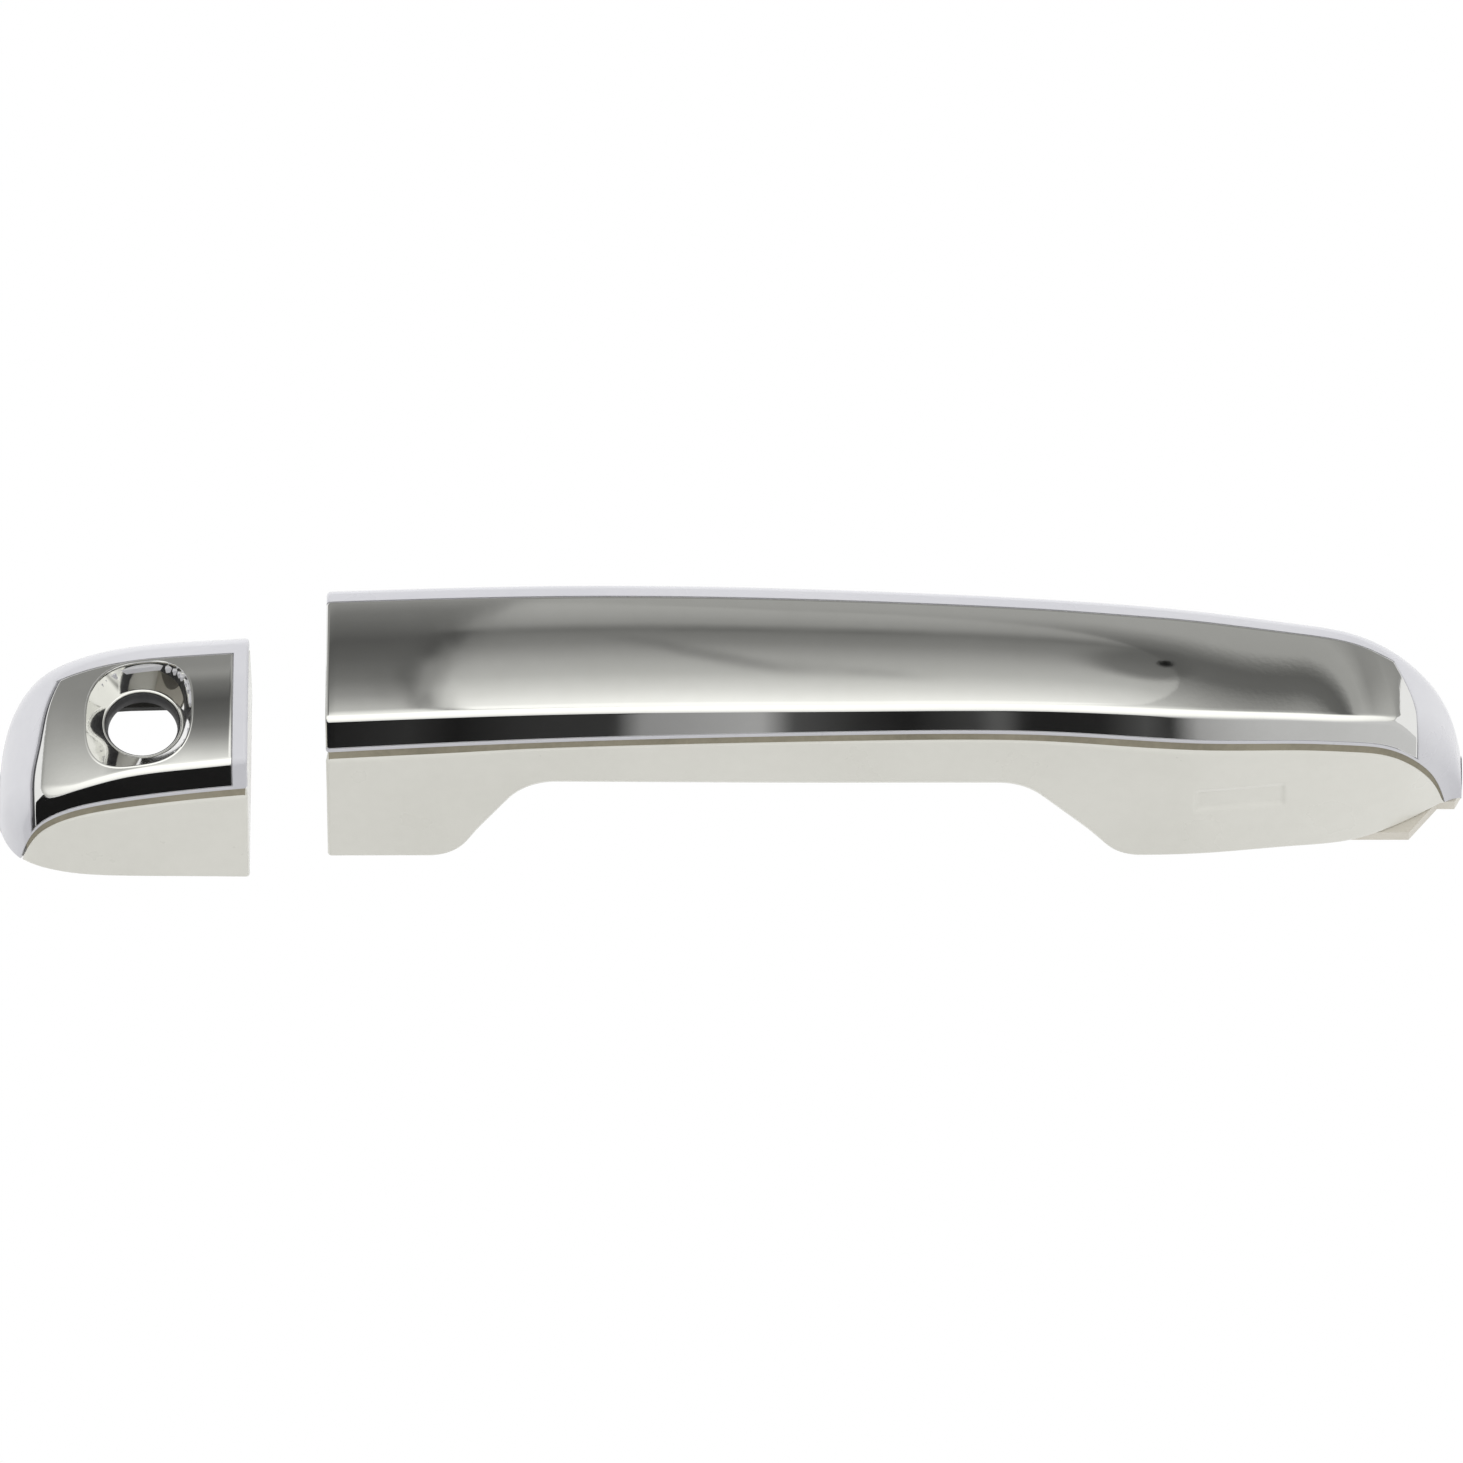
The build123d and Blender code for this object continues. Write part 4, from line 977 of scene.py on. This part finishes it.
for radius, z in ((7.32, 20.42), (7.2, 20.38), (7.05, 20.4), (6.98, 20.3), (6.98, 19.6)):
    rings.append(keyhole_ring(radius, z))
start = sum(len(part) for part in places)
places += [np.stack(ring, -1) for ring in rings]
ring_index = start + np.arange(len(rings) * TURNS).reshape(len(rings), TURNS)
after = np.roll(ring_index, -1, axis=1)
faces.append(np.stack([ring_index[:-1], after[:-1], after[1:], ring_index[1:]], -1).reshape(-1, 4))
mesh = bpy.data.meshes.new("cap_chrome_face")
mesh.from_pydata((np.concatenate(places) * MM).tolist(), [], np.concatenate(faces).tolist())
finish_piece("cap_chrome_face", mesh, "cap", "chrome", CHROME_PLATING, "cap_chrome_plate")

# Gasket along the rear edge of the cap's plating: a black plastic cord pressed into the gap between the
# plating and the paint.
BLACK_PLASTIC = bpy.data.materials.new("black_plastic")
finish(BLACK_PLASTIC, ((0.036, 0.036, 0.039), (0.056, 0.056, 0.06), 60.0), (0.42, 0.6, 160.0),
       (MOULD_GRAIN, 1300.0, 0.02))
CORD_TOP, CORD_FOOT = 0.62, 1.22
cord_v = np.linspace(1.06, 3.97, 120)[None, :]
cord_x = cap_plate_start(cord_v[0])[None, :] + np.linspace(0.03, CAP_GROOVE + 0.2, 5)[:, None]
moulding("cap_plate_gasket", sunk(cap_skin.point, cord_x, cord_v, CORD_TOP, *cap_spans),
         sunk(cap_skin.point, cord_x, cord_v, CORD_FOOT, *cap_spans), "cap", "black_plastic", BLACK_PLASTIC,
         "cap_chrome_plate")

# Liner of the key hole: a dark moulded plastic ring behind the funnel's foot that centres the lock
# cylinder's nose, turned here from the outline of its wall.
LINER_PROFILE = [  # radius and height
    (7.6, 19.5), (6.9, 19.5), (6.9, 20.1), (6.75, 20.15), (6.5, 19.3), (6.42, 18.6), (6.42, 17.6),
    (6.5, 17.5), (7.6, 17.5), (7.7, 17.6), (7.7, 19.4)]
ring = [np.stack(keyhole_ring(radius, z), -1) for radius, z in LINER_PROFILE]
index = np.arange(len(ring) * TURNS).reshape(len(ring), TURNS)
after = np.roll(index, -1, axis=1)
quads = np.stack([index, after, np.roll(after, -1, axis=0), np.roll(index, -1, axis=0)], -1).reshape(-1, 4)
mesh = bpy.data.meshes.new("keyhole_liner_ring")
mesh.from_pydata((np.concatenate(ring) * MM).tolist(), [], quads.tolist())
finish_piece("keyhole_liner_ring", mesh, "cap", "black_plastic", BLACK_PLASTIC, "keyhole_liner")

# Seal strips and lower shell of the key cap, made like the handle's. The shell's far wall is thin, and its
# floor is open where the lock cylinder passes.
seal_strip("cap_seal_strip", cap_skin, steps((-130.5, -89.7, 50)), "cap", "cap_seam_gasket")
CAP_LEAF_TIP = -131.2
THIN_FAR_WALL = 1.0
LOCK_OPENING_X, LOCK_OPENING_V = (-120.0, -97.5), (1.5, 2.9)
cap_lower = lower_surface(cap_skin, lambda x: 0 * x, FOOT_EDGE_ROUND, FOOT_EDGE_ROUND)
cap_lower_x = steps((CAP_LEAF_TIP, -120, 40), (-120, CAP_RIGHT - END_ROLL, 40))
x, v = cap_lower_x[:, None], lower_v[None, :]
depth, thickness = leaf_wall(cap_skin, x, 0, leaf_edges(v), np.where(v < 2.3, THIN_FAR_WALL, LOWER_WALL))
lower_spans = ((CAP_LEAF_TIP, CAP_RIGHT), (0.0, 5.0))
outer = sunk(cap_lower, x, v, depth, *lower_spans)
inner = sunk(cap_lower, np.minimum(x, CAP_RIGHT - LOWER_WALL), v, np.maximum(thickness, depth + 0.1),
             *lower_spans)
end_outer, end_inner = end_wall(cap_lower, lower_v, CAP_RIGHT, -1, leaf_edges(lower_v), LOWER_WALL, END_ROLL,
                                lower_spans)
outer, inner = np.concatenate([outer, end_outer]), np.concatenate([inner, end_inner])
in_floor = ((outer[..., 0] > LOCK_OPENING_X[0]) & (outer[..., 0] < LOCK_OPENING_X[1])
            & (lower_v >= LOCK_OPENING_V[0]) & (lower_v <= LOCK_OPENING_V[1]))
moulding("cap_lower_shell_painted", outer, inner, "cap", "shell_paint", WARM_TINTED_PAINT, "cap_inner_shell",
         opening=whole_squares(in_floor))

# Core of the handle, moulded in black glass-filled plastic, which the shells clip to, and the small circuit
# board of the touch sensor that lies in it. This and all that follows keeps its shape from model.glb.
def refinish(material, *nodes):
    """Gives carried-over parts their finish."""
    for node in nodes:
        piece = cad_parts[node]
        piece.data.materials.clear()
        piece.data.materials.append(material)


refinish(BLACK_PLASTIC, "handle_core")
SOLDER_TRACKS, given, result = effect("solder_tracks", [("Scale", NUMBER, 300.0)], [("Height", NUMBER)])
tracks = SOLDER_TRACKS.nodes.new("ShaderNodeTexBrick")
place = SOLDER_TRACKS.nodes.new("ShaderNodeTexCoord")
SOLDER_TRACKS.links.new(place.outputs["Object"], tracks.inputs["Vector"])
SOLDER_TRACKS.links.new(given["Scale"], tracks.inputs["Scale"])
SOLDER_TRACKS.links.new(tracks.outputs["Fac"], result["Height"])
BOARD_GREEN = bpy.data.materials.new("board_green")
finish(BOARD_GREEN, ((0.03, 0.17, 0.07), (0.06, 0.25, 0.11), 220.0), (0.25, 0.45, 300.0),
       (SOLDER_TRACKS, 260.0, 0.04))
refinish(BOARD_GREEN, "sensor_board")

# Front pivot arm, bell crank and the cap's carrier: moulded in ivory acetal, which slides well on the pins
# and on the black frame.
IVORY_PLASTIC = bpy.data.materials.new("ivory_plastic")
finish(IVORY_PLASTIC, ((0.64, 0.61, 0.54), (0.575, 0.545, 0.475), 45.0), (0.32, 0.5, 120.0),
       (MOULD_GRAIN, 1100.0, 0.012))
refinish(IVORY_PLASTIC, "front_pivot_arm", "cap_carrier", "bell_crank")

# Pull arm at the rear, its screws, the pins and the crank's balance weight: steel, zinc plated after pressing
# or turning, with fine drawing lines under the plating.
HAIRLINES, given, result = effect("hairlines", [("Scale", NUMBER, 60.0)], [("Height", NUMBER)])
lines = noise(HAIRLINES, given["Scale"], 6.0, stretch=(1, 30, 30), away=19.0)
HAIRLINES.links.new(lines, result["Height"])
PLATED_STEEL = bpy.data.materials.new("plated_steel")
finish(PLATED_STEEL, ((0.66, 0.65, 0.6), (0.52, 0.52, 0.5), 90.0), (0.24, 0.42, 150.0),
       (HAIRLINES, 60.0, 0.012), metallic=1.0)
refinish(PLATED_STEEL, "rear_pull_arm", "handle_screws", "cap_screw", "pivot_pin", "crank_pin",
         "crank_weight")

# Hook buffer and the gaskets that lie on the door skin: soft black rubber with a matt bloom, moulded to
# shape and glued on.
PAD_RUBBER = bpy.data.materials.new("pad_rubber")
finish(PAD_RUBBER, ((0.032, 0.032, 0.031), (0.06, 0.06, 0.057), 70.0), (0.62, 0.85, 180.0),
       (MOULD_GRAIN, 1700.0, 0.03))
refinish(PAD_RUBBER, "hook_buffer", "rear_gasket", "front_gasket", "cap_base_gasket")

# Mounting frame inside the door: black glass-filled plastic, with brass inserts pressed in for the door's
# screws and a pale low-friction guide for the pull arm.
refinish(BLACK_PLASTIC, "mounting_frame")
INSERT_BRASS = bpy.data.materials.new("insert_brass")
finish(INSERT_BRASS, ((0.78, 0.6, 0.31), (0.62, 0.44, 0.2), 130.0), (0.24, 0.42, 200.0),
       (HAIRLINES, 90.0, 0.01), metallic=1.0)
refinish(INSERT_BRASS, "threaded_inserts")
BUSH_PLASTIC = bpy.data.materials.new("bush_plastic")
finish(BUSH_PLASTIC, ((0.76, 0.75, 0.7), (0.66, 0.65, 0.59), 80.0), (0.34, 0.5, 140.0),
       (MOULD_GRAIN, 1300.0, 0.01))
refinish(BUSH_PLASTIC, "arm_guide", "crank_bush")

# Return spring and the clips that hold the pins: hard-drawn spring wire and strip, coiled or stamped to
# shape and left bright.
SPRING_STEEL = bpy.data.materials.new("spring_steel")
finish(SPRING_STEEL, ((0.5, 0.505, 0.52), (0.36, 0.365, 0.38), 150.0), (0.2, 0.36, 220.0),
       (HAIRLINES, 140.0, 0.008), metallic=1.0)
refinish(SPRING_STEEL, "return_spring", "pivot_pin_clips", "crank_pin_clips")
